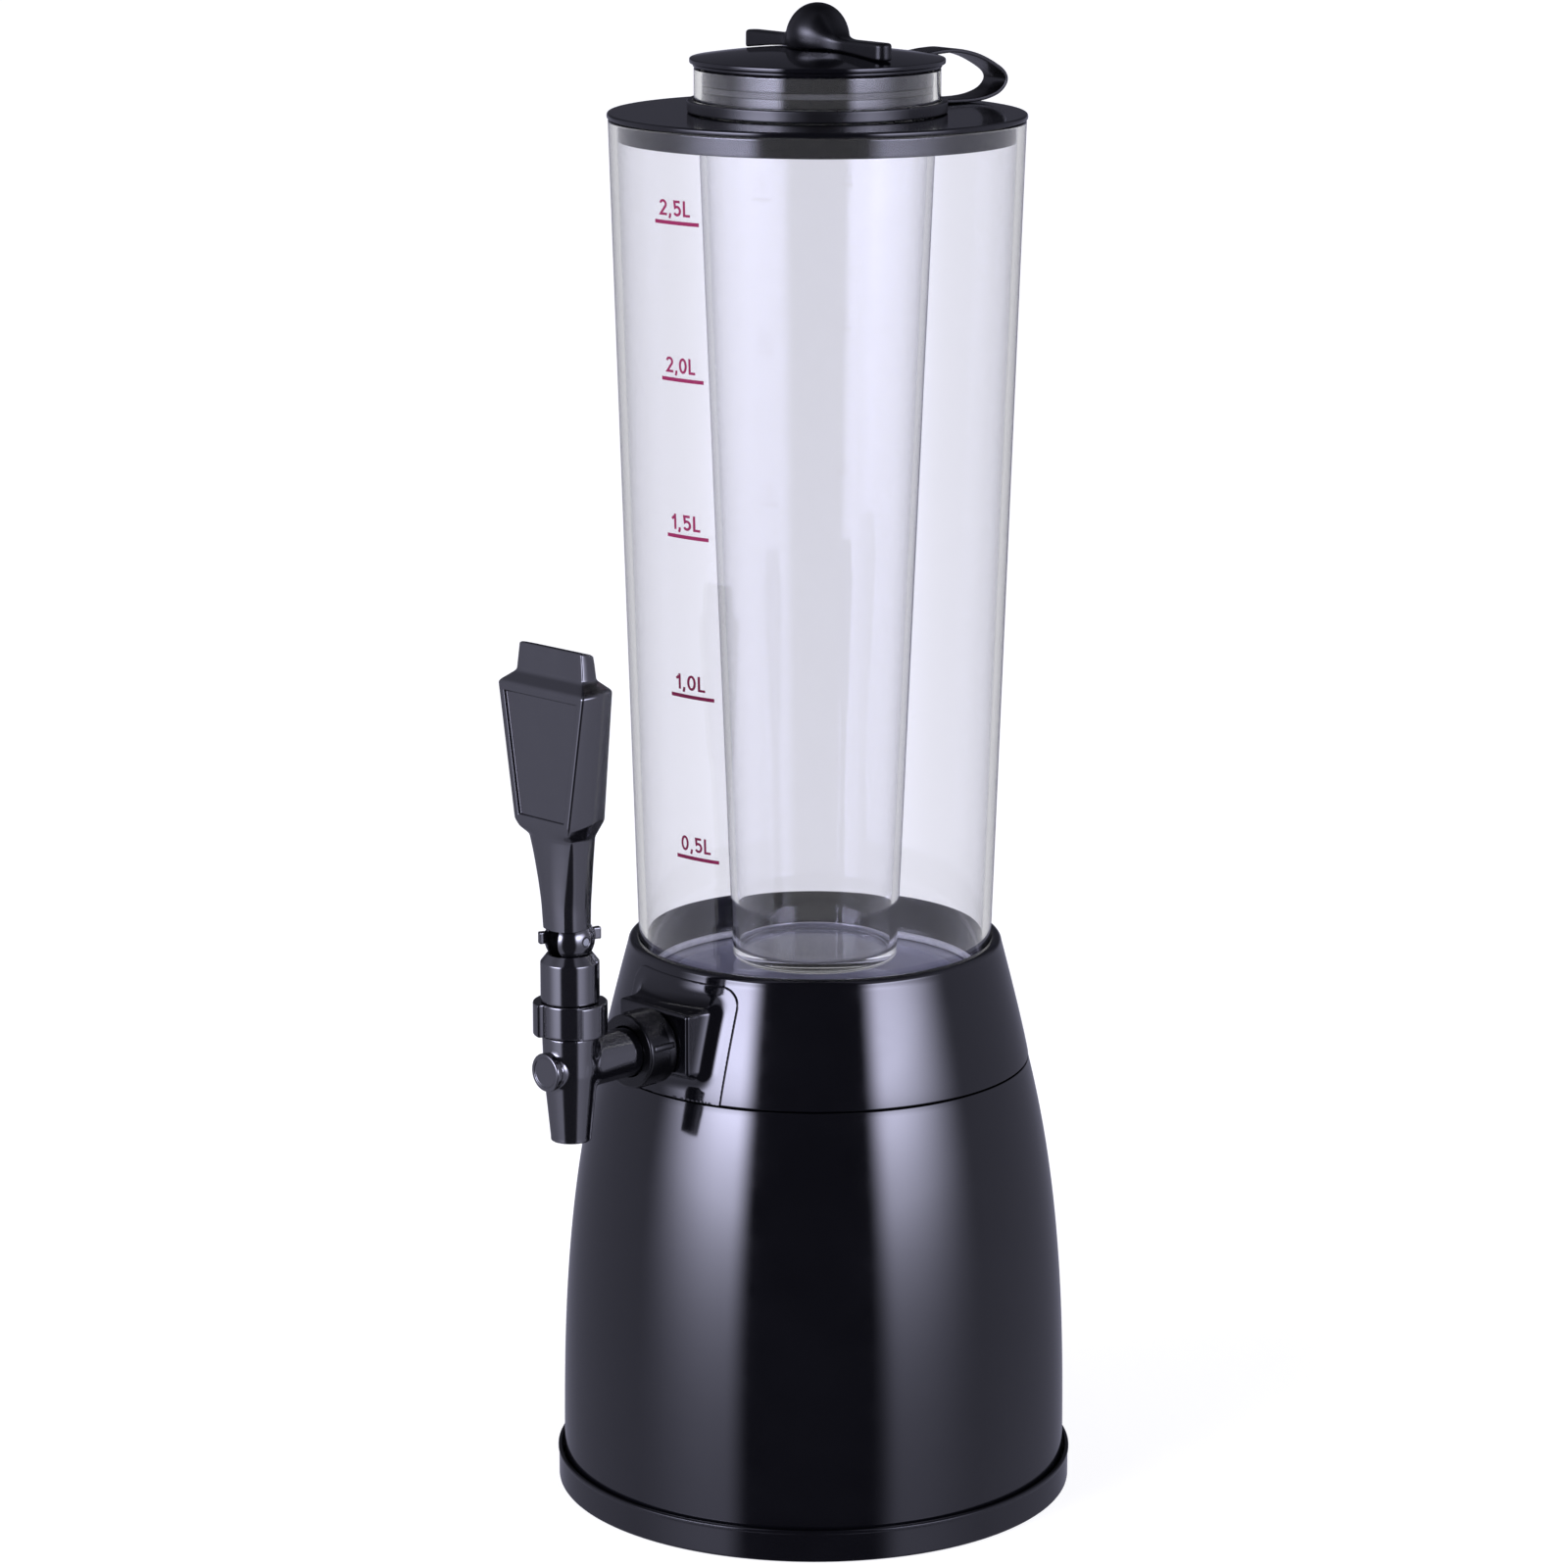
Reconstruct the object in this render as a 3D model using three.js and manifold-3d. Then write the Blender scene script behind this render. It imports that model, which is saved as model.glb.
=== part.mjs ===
// Drinks tower: a clear tapered tank with a hanging ice tube, on a bell-shaped base with a lever tap.
// Millimetres, +Z up. The origin is on the tower's axis at the table, and the tap points along -Y.
import * as THREE from 'three';
import { mergeVertices } from 'three/addons/utils/BufferGeometryUtils.js';
import Module from 'manifold-3d';

const wasm = await Module();
wasm.setup();

// Clearances, and sides of the round pieces
const seatGap = 0.3;
const slidingGap = 0.4;
const pinGap = 0.2;
const cutOverrun = 2;
const towerSides = 36;
const capSides = 32;
const tapSides = 24;
const smallSides = 14;

// Base tray, mat and screws
const baseRingRadius = 90.3;
const baseRingHeight = 11.8;
const baseRingWall = 1.1;
const baseRingLip = 0.3;
const baseGroove = 0.9;
const baseFloor = 2.4;
const matProud = 0.5;
const matRadius = 60;
const matThickness = 2;
const screwCount = 4;
const screwRadius = 1.6;
const screwHeadRadius = 3.6;
const screwHeadHeight = 1.8;
const screwLength = 13;
const screwSunk = 0.4;
const bossRadius = 5.5;
const bossHeight = 18;
const bossSink = 2.2;

// Casing: a lower and an upper half that meet at a seam
const casingWall = 3;
const upperCasingHeight = 42.8;
const collarWall = 3.41;
const rimRound = 2.2;
const seamHeight = 154;
const casingFlare = 9.8;
const seamWidth = 0.6;
const lapHeight = 4;
const lapWall = 1.8;
const lowerBulge = 2.75;
const upperBulge = 1.1;
const padHalfWidth = 25.5;
const padTopMargin = 3.6;
const padCorner = 7;
const padDepth = 1.4;
const ledgeThickness = 2.6;
const ledgeWidth = 6.4;

// Tank, gasket and bowl
const tankFootRadius = 60.5;
const tankTopRadius = 70;
const tankHeight = 293.1;
const tankWall = 2.8;
const tankInsertDepth = 12;
const gasketThickness = 2;
const gasketWidth = 4;
const bowlFlange = 2.6;
const bowlWall = 2.4;
const bowlLedgeMargin = 2.4;
const bowlTaper = 7;
const bowlDepth = 15.2;
const outletBore = 4.4;
const outletRadius = 7;
const outletSetback = 2.7;
const outletSealThickness = 1.2;
const outletSealWidth = 2.2;

// Lid and ice tube
const lidThickness = 1.8;
const lidOverhang = 0.4;
const lidEdge = 0.6;
const lidSkirtDepth = 7;
const lidSkirtWall = 1.8;
const lidHubDepth = 9;
const lidHubWall = 1.8;
const iceTubeTopRadius = 40;
const iceTubeFootRadius = 28.3;
const iceTubeClear = 4.7;
const iceTubeWall = 2.4;
const iceTubeFloor = 3.5;
const iceTubeChamfer = 1.5;
const neckRadius = 41.3;
const neckHeight = 14.5;

// Cap, its seal and its handle
const capTurn = THREE.MathUtils.degToRad(-7);
const capRimRadius = 42.8;
const capRimThickness = 1.7;
const capRimEdge = 0.5;
const capLipRadius = 41.6;
const capLipThickness = 1.2;
const capDomeRise = 3.4;
const capShell = 2;
const plugDepth = 11;
const plugWall = 1.8;
const capSealHeight = 1.8;
const capSealWidth = 1.3;
const capSealRise = 3.4;
const knobRadius = 10;
const knobHeight = 14.9;
const gripHalfLength = 37.5;
const gripHalfWidth = 2.7;
const gripHeight = 5.2;
const gripLift = 0.6;
const gripEdge = 0.9;
const pegRadius = 3;
const pegDepth = 4.6;

// Tether strap
const strapWidth = 12;
const strapThickness = 1.4;
const strapReach = 74.6;
const strapRise = 16.4;
const strapRingHeight = 4;
const strapRingWall = 2;
const strapFootLift = 0.8;

// Tap mouth on the casing, and the union nut
const tapRise = 18;
const blockHalfWidth = 16.8;
const blockHalfHeight = 11.5;
const blockProud = 2.8;
const blockRound = 1.8;
const spigotLength = 6.4;
const spigotRadius = 10.3;
const shankWasherThickness = 1.2;
const tailFlange = 1.8;
const tailRadius = 9.9;
const nutWall = 2;
const nutFrontWall = 2.2;
const nutEdge = 0.8;
const nutFlangeProud = 0.8;
const nutFlangeLength = 1.8;
const nutRibs = 4;
const nutRibWidth = 2.2;
const nutRibProud = 0.6;
const nutRibTurn = THREE.MathUtils.degToRad(13);

// Tap body and front plug, measured from the point where the shank's axis meets the barrel's
const tapStandoff = 37.3;
const shankRadius = 8.4;
const barrelTopRadius = 9.4;
const barrelTopRise = 11.2;
const barrelWaistRadius = 9;
const barrelWaistDrop = 2;
const spoutRadius = 6.8;
const spoutEdge = 0.8;
const spoutDrop = 25.2;
const spoutBore = 4.6;
const throatBore = 3.4;
const throatDrop = 9;
const throatLength = 2;
const chamberBore = 6.1;
const collarRadius = 8.6;
const collarHeight = 5;
const plugHubRadius = 6;
const plugHubReach = 9.1;
const plugHeadRadius = 6.5;
const plugHeadThickness = 2.3;
const plugHeadEdge = 0.7;
const plugStemRadius = 3.6;
const plugSealWidth = 1.2;
const plugSealDepth = 0.8;

// Bonnet and its nut
const bonnetSealThickness = 0.8;
const bonnetFlangeRadius = 8.6;
const bonnetFlangeThickness = 1.6;
const bonnetNeckRadius = 7.9;
const bonnetRadius = 9.8;
const bonnetShoulderRise = 36.2;
const bonnetTopRise = 39;
const bonnetTopRadius = 7.6;
const bonnetRoof = 4;
const bonnetNutHeight = 11.1;
const bonnetNutRadius = 10.2;
const lugRadius = 12.4;
const lugSpan = THREE.MathUtils.degToRad(103);
const lugTurn = THREE.MathUtils.degToRad(27.5);

// Lever pivot: a slotted ball in the bonnet's cup, on a pin through the bonnet's tongue
const pivotRise = 44;
const ballRadius = 8.4;
const slotWidth = 5.2;
const slotRoof = 3.6;
const tongueRadius = 2.3;
const pinRadius = 1.3;
const crankReach = 4.6;
const crankDrop = 2.6;
const crankRadius = 1;
const nubReach = 10.7;
const nubWidth = 2.4;
const nubHeight = 4;
const nubRise = 1;
const nubTurn = THREE.MathUtils.degToRad(-23);

// Lever, measured along its own axis from the pivot
const leverLean = THREE.MathUtils.degToRad(2.6);
const leverLength = 99;
const stemFootHalfWidth = 6.2;
const stemTopHalfWidth = 9.6;
const stemTop = 35.5;
const stemFront = 4.3;
const stemBack = 5.2;
const stemRound = 3.6;
const paddleFoot = 41;
const paddleFootHalfWidth = 12.3;
const paddleTop = 86;
const paddleTopHalfWidth = 19.4;
const paddleFront = 8.6;
const paddleBack = 6.2;
const paddleRound = 4;
const crownFoot = 89.5;
const crownHalfWidth = 14.8;
const crownFront = 4.4;
const crownBack = 2.8;
const crownRound = 1;
const crownTaper = 0.9;
const panelMargin = 2.4;
const panelDepth = 0.8;

// Valve stem
const pistonRadius = 5.7;
const pistonRise = 20;
const pistonHeight = 5;
const stemSealHeight = 1.6;
const stemSealWidth = 1.2;
const valveRodRadius = 2.3;
const valveTipRadius = 1.2;
const valveWasherRadius = 4.9;
const valveWasherThickness = 2.2;
const pullRodRadius = 1.5;
const eyeHalfWidth = 2.2;
const eyeWall = 0.8;

// Heights and radii of the tower that follow from the sizes above
const matRecess = matThickness + seatGap;
const trayFloorTop = matRecess + baseFloor;
const casingFoot = trayFloorTop + seatGap;
const ringOuter = baseRingRadius - baseRingLip;
const ringInner = ringOuter - baseRingWall;
const casingFootRadius = ringInner - baseGroove;
const screwHeadFoot = matProud + screwSunk;
const screwHeadTop = screwHeadFoot + screwHeadHeight;
const screwCircle = casingFootRadius - casingWall - bossRadius + bossSink;
const casingTop = seamHeight + upperCasingHeight;
const tapHeight = seamHeight + tapRise;
const lowerTop = seamHeight - seamWidth / 2;
const upperFoot = seamHeight + seamWidth / 2;
const tankFoot = casingTop - tankInsertDepth;
const tankTop = tankFoot + tankHeight;
const collarBore = tankRadius(casingTop) + seatGap;
const shoulderRadius = collarBore + collarWall;
const seamRadius = shoulderRadius + casingFlare;
const blockReach = seamRadius + blockProud;
const tapReach = blockReach + tapStandoff;
const ledgeInner = collarBore - ledgeWidth;
const bowlMouthRadius = ledgeInner - bowlLedgeMargin - bowlWall;
const bowlFloorRadius = bowlMouthRadius - bowlTaper;
const outletReach = collarBore - outletSetback;
const gasketTop = tankFoot - seatGap;
const bowlTop = gasketTop - gasketThickness - seatGap;
const bowlFloor = bowlTop - bowlDepth;
const ledgeTop = bowlTop - bowlFlange - seatGap;
const ledgeUnder = ledgeTop - ledgeThickness;
const mouthReach = outletReach + outletSealThickness + seatGap;
const lidUnder = tankTop + seatGap;
const lidTop = lidUnder + lidThickness;
const lidHole = iceTubeTopRadius + slidingGap;
const neckFoot = lidTop + seatGap;
const neckTop = neckFoot + neckHeight;
const neckBore = neckRadius - iceTubeWall;
const iceTubeFoot = tankFoot + iceTubeClear;
const iceTubeLength = neckFoot - iceTubeFoot;
const capLipFoot = neckTop + seatGap;
const capRimFoot = capLipFoot + capLipThickness;
const capRimTop = capRimFoot + capRimThickness;
const capTop = capRimTop + capDomeRise;
const capPlugRadius = neckBore - slidingGap;
const capPlugFoot = capLipFoot - plugDepth;
const capSealFoot = capPlugFoot + capSealRise;
const capGroove = capPlugRadius - capSealWidth;

// Reaches along the shank, and heights on the tap, that follow from the sizes above
const spigotReach = blockReach + spigotLength;
const shankWasherReach = spigotReach + seatGap / 2;
const tailReach = shankWasherReach + shankWasherThickness + seatGap / 2;
const nutBore = Math.max(spigotRadius, tailRadius) + seatGap;
const nutRadius = nutBore + nutWall;
const nutStart = blockReach + seatGap;
const nutShelf = tailReach + tailFlange + seatGap;
const nutEnd = nutShelf + nutFrontWall;
const throatTop = -throatDrop + throatLength;
const valveWasherFoot = throatTop + seatGap / 2;
const valveWasherTop = valveWasherFoot + valveWasherThickness;
const plugHeadBack = plugHubReach + seatGap;
const plugSealReach = (chamberBore + plugHubReach) / 2;
const collarTop = barrelTopRise + collarHeight;
const bonnetFoot = collarTop + bonnetSealThickness + seatGap;
const bonnetNutFoot = barrelTopRise + seatGap;
const bonnetNutTop = bonnetNutFoot + bonnetNutHeight;
const bonnetNutShelf = bonnetFoot + bonnetFlangeThickness + seatGap;
const cupRadius = ballRadius + seatGap;
const pistonRoof = pivotRise - cupRadius - bonnetRoof;
const tongueHalfWidth = slotWidth / 2 - slidingGap;
const pullRodOffset = pistonRadius - pullRodRadius;
const crankArm = Math.hypot(crankReach, crankDrop);
const stemSealFoot = pistonRise + (pistonHeight - stemSealHeight) / 2;

// Colours and finishes
const glossBlack = finish('#17171b', 0.16);
const softBlack = finish('#1e1e22', 0.32);
const jetBlack = finish('#0b0b0d', 0.3);
const pliantBlack = finish('#101012', 0.45);
const rubberBlack = finish('#1a1a1a', 0.85);
const rubberGrey = finish('#8b8b90', 0.7);
const clearPlastic = finish('#dfe0ea', 0.05, { transparent: true, opacity: 0.3 });
const zincSteel = finish('#b9bcc0', 0.35, { metalness: 1 });

function finish(color, roughness, extra = {}) {
  return new THREE.MeshStandardMaterial({ color, roughness, metalness: 0, ...extra });
}

// Outer radius of the tank at a height
function tankRadius(height) {
  return tankFootRadius + (tankTopRadius - tankFootRadius) * (height - tankFoot) / tankHeight;
}

// Outer radius of the ice tube at a height
function iceTubeRadius(height) {
  return iceTubeFootRadius + (iceTubeTopRadius - iceTubeFootRadius) * (height - iceTubeFoot) / iceTubeLength;
}

// Outer radius of the casing: a bell below the seam, and a nearly straight cone above it
function casingRadius(height) {
  if (height < seamHeight) {
    const rise = Math.max(0, (height - casingFoot) / (seamHeight - casingFoot));
    return casingFootRadius - (casingFootRadius - seamRadius) * rise ** lowerBulge;
  }
  const rise = (height - seamHeight) / (casingTop - rimRound - seamHeight);
  return seamRadius - (seamRadius - shoulderRadius) * rise ** upperBulge;
}

// Height of the cap's dome at a radius
function domeHeight(radius) {
  return capRimTop + capDomeRise * (1 - (radius / capRimRadius) ** 2);
}

// Evenly spaced values from one end to the other, both included
function steps(from, to, count) {
  return Array.from({ length: count + 1 }, (unused, index) => from + (to - from) * index / count);
}

// A solid from a closed geometry, with shared corners and its faces pointing out
function solidOf(geometry) {
  geometry.deleteAttribute('normal');
  geometry.deleteAttribute('uv');
  const merged = mergeVertices(geometry);
  const corners = merged.getAttribute('position').array;
  const triangles = [];
  let volume = 0;
  for (let index = 0; index < merged.index.count; index += 3) {
    const [a, b, c] = [0, 1, 2].map((offset) => merged.index.getX(index + offset));
    if (a === b || b === c || c === a) continue;
    triangles.push(a, b, c);
    const [first, second, third] = [a, b, c].map((corner) => new THREE.Vector3().fromArray(corners, corner * 3));
    volume += first.dot(second.cross(third));
  }
  if (volume < 0) triangles.reverse();
  return new wasm.Manifold(new wasm.Mesh({
    numProp: 3,
    vertProperties: new Float32Array(corners),
    triVerts: new Uint32Array(triangles),
  }));
}

// A named mesh from a solid
function piece(name, solid, material) {
  const { vertProperties, triVerts } = solid.getMesh();
  const geometry = new THREE.BufferGeometry();
  geometry.setAttribute('position', new THREE.BufferAttribute(vertProperties, 3));
  geometry.setIndex(new THREE.BufferAttribute(triVerts, 1));
  geometry.computeVertexNormals();
  const mesh = new THREE.Mesh(geometry, material);
  mesh.name = name;
  return mesh;
}

// A closed profile of [radius, height] points turned about Z
function turned(profile, sides = towerSides) {
  const geometry = lathe(profile, sides);
  geometry.rotateX(Math.PI / 2);
  return solidOf(geometry);
}

// A closed profile of [radius, reach] points turned about Y, where reach runs out along -Y
function turnedOutward(profile, sides = tapSides) {
  return solidOf(lathe(profile.map(([radius, reach]) => [radius, -reach]), sides));
}

function lathe(profile, sides) {
  const points = profile.map(([radius, along]) => new THREE.Vector2(radius, along));
  return new THREE.LatheGeometry([...points, points[0]], sides);
}

// Closed profile of a plain rod, and of a plain ring
function rodProfile(radius, from, to) {
  return [[0, from], [radius, from], [radius, to], [0, to]];
}

function ringProfile(inner, outer, from, to) {
  return [[inner, from], [outer, from], [outer, to], [inner, to]];
}

// A rod along X through the origin
function crossRod(radius, halfLength) {
  const geometry = new THREE.CylinderGeometry(radius, radius, 2 * halfLength, smallSides);
  geometry.rotateZ(Math.PI / 2);
  return solidOf(geometry);
}

function ball(radius) {
  return solidOf(new THREE.SphereGeometry(radius, tapSides, smallSides));
}

function box([lowX, lowY, lowZ], [highX, highY, highZ]) {
  const geometry = new THREE.BoxGeometry(highX - lowX, highY - lowY, highZ - lowZ);
  geometry.translate((lowX + highX) / 2, (lowY + highY) / 2, (lowZ + highZ) / 2);
  return solidOf(geometry);
}

// A shape drawn across X and Z, swept out along -Y from one reach to another
function sweptOutward(shape, from, to) {
  const geometry = new THREE.ExtrudeGeometry(shape, { depth: to - from, bevelEnabled: false, curveSegments: 4 });
  geometry.rotateX(Math.PI / 2);
  geometry.translate(0, -from, 0);
  return solidOf(geometry);
}

// A rounded rectangle across X and Z
function roundedRectangle(halfWidth, low, high, corner) {
  const shape = new THREE.Shape();
  shape.absarc(halfWidth - corner, low + corner, corner, -Math.PI / 2, 0);
  shape.absarc(halfWidth - corner, high - corner, corner, 0, Math.PI / 2);
  shape.absarc(corner - halfWidth, high - corner, corner, Math.PI / 2, Math.PI);
  shape.absarc(corner - halfWidth, low + corner, corner, Math.PI, Math.PI * 3 / 2);
  return shape;
}

// A body through rings of equal count, with a flat fan at each end
function lofted(rings) {
  const count = rings[0].length;
  const centres = [rings[0], rings.at(-1)].map((ring) => (
    ring.reduce((sum, corner) => sum.add(corner), new THREE.Vector3()).divideScalar(count)
  ));
  const last = (rings.length - 1) * count;
  const centre = rings.length * count;
  const index = [];
  for (let side = 0; side < count; side += 1) {
    const next = (side + 1) % count;
    for (let level = 0; level < last; level += count) {
      index.push(level + side, level + next, level + next + count);
      index.push(level + side, level + next + count, level + side + count);
    }
    index.push(centre, next, side);
    index.push(centre + 1, last + side, last + next);
  }
  const geometry = new THREE.BufferGeometry().setFromPoints([...rings.flat(), ...centres]);
  geometry.setIndex(index);
  return solidOf(geometry);
}

// Places of the screws, spaced evenly and clear of the tap
function screwPlaces() {
  return Array.from({ length: screwCount }, (unused, index) => {
    const angle = (index + 1 / 2) * Math.PI * 2 / screwCount;
    return [screwCircle * Math.cos(angle), screwCircle * Math.sin(angle), 0];
  });
}

function nonSlipMat() {
  return piece('non_slip_mat', turned(rodProfile(matRadius, 0, matThickness)), rubberBlack);
}

// Base tray: a floor with a recess for the mat, and a thin ring that stands round the casing's foot
function baseTray() {
  const lipFoot = baseRingHeight - baseRingLip - baseRingWall;
  let tray = turned([
    [0, matRecess], [matRadius + slidingGap, matRecess], [matRadius + slidingGap, matProud],
    [ringOuter - baseRingWall, matProud], [ringOuter, matProud + baseRingWall], [ringOuter, lipFoot],
    [baseRingRadius, lipFoot + baseRingLip], [baseRingRadius, baseRingHeight - baseRingLip],
    [ringOuter, baseRingHeight], [ringInner, baseRingHeight], [ringInner, trayFloorTop], [0, trayFloorTop],
  ]);
  const counterbore = turned(
    rodProfile(screwHeadRadius + slidingGap, -cutOverrun, screwHeadTop + seatGap), smallSides,
  );
  const hole = turned(rodProfile(screwRadius + slidingGap, -cutOverrun, trayFloorTop + cutOverrun), smallSides);
  for (const place of screwPlaces()) {
    tray = tray.subtract(counterbore.add(hole).translate(place));
  }
  return piece('base_tray', tray, glossBlack);
}

// Pan-head screws that hold the tray to the lower casing
function baseScrews() {
  const screw = turned([
    [0, screwHeadFoot], [screwHeadRadius - screwSunk, screwHeadFoot],
    [screwHeadRadius, screwHeadFoot + screwSunk], [screwHeadRadius, screwHeadTop], [screwRadius, screwHeadTop],
    [screwRadius, screwHeadTop + screwLength - screwRadius], [0, screwHeadTop + screwLength],
  ], smallSides);
  return screwPlaces().map((place, index) => {
    const mesh = piece(`base_screw_${index + 1}`, screw, zincSteel);
    mesh.position.set(...place);
    return mesh;
  });
}

// Lower casing: a bell-shaped shell with screw bosses, and an upstand that the upper casing laps over
function lowerCasing() {
  const outside = steps(casingFoot, lowerTop, 7).map((height) => [casingRadius(height), height]);
  const upstandTop = seamHeight + lapHeight;
  const upstandOuter = casingRadius(upstandTop) - casingWall - seatGap;
  const upstandInner = upstandOuter - lapWall;
  const upstandFoot = lowerTop - lapHeight;
  const inside = steps(upstandFoot, casingFoot, 3).map((height) => [casingRadius(height) - casingWall, height]);
  let shell = turned([
    ...outside, [upstandOuter, lowerTop], [upstandOuter, upstandTop], [upstandInner, upstandTop],
    [upstandInner, upstandFoot + lapWall], ...inside,
  ]);
  const bossTop = casingFoot + bossHeight;
  const boss = turned(rodProfile(bossRadius, casingFoot, bossTop), smallSides);
  const pilotTop = screwHeadTop + screwLength + seatGap;
  const pilot = turned(rodProfile(screwRadius + seatGap, casingFoot - cutOverrun, pilotTop), smallSides);
  const room = turned([
    [0, casingFoot], [casingFootRadius - casingWall / 2, casingFoot],
    [casingRadius(bossTop) - casingWall / 2, bossTop], [0, bossTop],
  ]);
  for (const place of screwPlaces()) {
    shell = shell.add(boss.translate(place).intersect(room)).subtract(pilot.translate(place));
  }
  return piece('lower_casing', shell, glossBlack);
}

// Upper casing: the collar that holds the tank, with a shallow pad, a block and a spigot for the tap
function upperCasing() {
  const outline = (inset) => steps(upperFoot, casingTop - rimRound, 4).map((height) => (
    [casingRadius(height) - inset, height]
  ));
  const rim = steps(0, Math.PI / 2, 3).slice(1).map((angle) => [
    shoulderRadius + rimRound * (Math.cos(angle) - 1),
    casingTop + rimRound * (Math.sin(angle) - 1),
  ]);
  const insideTop = ledgeUnder - ledgeThickness;
  const inside = steps(insideTop, upperFoot, 2).map((height) => [casingRadius(height) - casingWall, height]);
  const shell = turned([
    ...outline(0), ...rim, [collarBore + seatGap, casingTop], [collarBore, casingTop - seatGap],
    [collarBore, ledgeTop], [ledgeInner, ledgeTop], [ledgeInner, ledgeUnder], ...inside,
  ]);
  const core = turned([[0, upperFoot], ...outline(padDepth), [0, casingTop - rimRound]]);
  const padTop = casingTop - padTopMargin;
  const padShape = roundedRectangle(padHalfWidth, upperFoot - padCorner - cutOverrun, padTop, padCorner);
  const pad = sweptOutward(padShape, mouthReach, seamRadius + cutOverrun);
  return piece('upper_casing', withTapMouth(shell.subtract(pad.subtract(core))), glossBlack);
}

// The block on the pad, its spigot, and the bore that leads the drink out to the tap
function withTapMouth(shell) {
  const level = [0, 0, tapHeight];
  const blockShape = roundedRectangle(blockHalfWidth, -blockHalfHeight, blockHalfHeight, blockRound);
  const block = sweptOutward(blockShape, mouthReach, blockReach).translate(level);
  const tankRoom = turned(rodProfile(collarBore, ledgeTop, casingTop + cutOverrun));
  const spigot = turnedOutward(rodProfile(spigotRadius, blockReach - blockRound, spigotReach)).translate(level);
  const notch = outletRadius + slidingGap;
  const stubRoom = box(
    [-notch, -mouthReach, ledgeUnder - cutOverrun],
    [notch, -outletReach + ledgeWidth * 2, ledgeTop + cutOverrun],
  );
  const bore = turnedOutward(rodProfile(outletBore, mouthReach - cutOverrun, spigotReach + cutOverrun), smallSides);
  return shell.add(block.subtract(tankRoom)).add(spigot).subtract(stubRoom).subtract(bore.translate(level));
}

// Bowl under the tank: a flange that carries the gasket, a shallow dish and the outlet's stub
function drainBowl() {
  const level = [0, 0, tapHeight];
  const flangeRadius = collarBore - seatGap;
  const dishRadius = bowlMouthRadius + bowlWall;
  const outside = turned([
    [0, bowlFloor - bowlWall], [bowlFloorRadius + bowlWall / 2, bowlFloor - bowlWall],
    [dishRadius, bowlFloor + bowlWall], [dishRadius, bowlTop - bowlFlange],
    [flangeRadius, bowlTop - bowlFlange], [flangeRadius, bowlTop], [0, bowlTop],
  ]);
  const dish = turned([
    [0, bowlFloor], [bowlFloorRadius, bowlFloor], [bowlMouthRadius - bowlWall / 2, bowlFloor + bowlWall * 2],
    [bowlMouthRadius, bowlTop - bowlWall], [bowlMouthRadius, bowlTop + cutOverrun], [0, bowlTop + cutOverrun],
  ]);
  const stub = turnedOutward(rodProfile(outletRadius, bowlFloorRadius, outletReach), smallSides);
  const bore = turnedOutward(rodProfile(outletBore, 0, outletReach + cutOverrun), smallSides);
  const bowl = outside.add(stub.translate(level)).subtract(dish).subtract(bore.translate(level));
  return piece('drain_bowl', bowl, glossBlack);
}

// Face seal between the bowl's outlet and the casing's bore
function outletSeal() {
  const near = outletReach + seatGap / 2;
  const inner = outletBore + seatGap;
  const seal = turnedOutward(
    ringProfile(inner, inner + outletSealWidth, near, near + outletSealThickness), smallSides,
  );
  const mesh = piece('outlet_seal', seal, rubberGrey);
  mesh.position.z = tapHeight;
  return mesh;
}

function tankGasket() {
  const outer = collarBore - seatGap;
  const gasket = turned(ringProfile(outer - gasketWidth, outer, gasketTop - gasketThickness, gasketTop));
  return piece('tank_gasket', gasket, rubberGrey);
}

// Tank: a clear tapered tube, open at both ends
function tank() {
  const edge = tankWall / 4;
  const tube = turned([
    [tankFootRadius, tankFoot], [tankRadius(tankTop - edge), tankTop - edge], [tankTopRadius - edge, tankTop],
    [tankTopRadius - tankWall, tankTop], [tankFootRadius - tankWall, tankFoot],
  ]);
  return piece('tank', tube, clearPlastic);
}

// Lid: a flat disc with a skirt inside the tank and a hub round the ice tube
function lid() {
  const skirtFoot = lidUnder - lidSkirtDepth;
  const skirtOuter = tankRadius(skirtFoot) - tankWall - slidingGap;
  const skirtInner = skirtOuter - lidSkirtWall;
  const hubFoot = lidUnder - lidHubDepth;
  const hubOuter = lidHole + lidHubWall;
  const outer = tankTopRadius + lidOverhang;
  const disc = turned([
    [lidHole, lidTop], [lidHole, hubFoot], [hubOuter, hubFoot], [hubOuter, lidUnder],
    [skirtInner, lidUnder], [skirtInner, skirtFoot], [skirtOuter, skirtFoot], [skirtOuter, lidUnder],
    [outer, lidUnder], [outer, lidTop - lidEdge], [outer - lidEdge, lidTop],
  ]);
  return piece('lid', disc, glossBlack);
}

// Ice tube: a long clear cup that hangs in the lid by its wider neck
function iceTube() {
  const floor = iceTubeFoot + iceTubeFloor;
  const floorRadius = iceTubeRadius(floor) - iceTubeWall;
  const tube = turned([
    [0, iceTubeFoot], [iceTubeFootRadius - iceTubeChamfer, iceTubeFoot],
    [iceTubeFootRadius, iceTubeFoot + iceTubeChamfer], [iceTubeTopRadius, neckFoot], [neckRadius, neckFoot],
    [neckRadius, neckTop], [neckBore, neckTop], [neckBore, neckFoot + iceTubeWall],
    [iceTubeTopRadius - iceTubeWall, neckFoot], [floorRadius, floor + iceTubeChamfer],
    [floorRadius - iceTubeChamfer, floor], [0, floor],
  ]);
  return piece('ice_tube', tube, clearPlastic);
}

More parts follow.
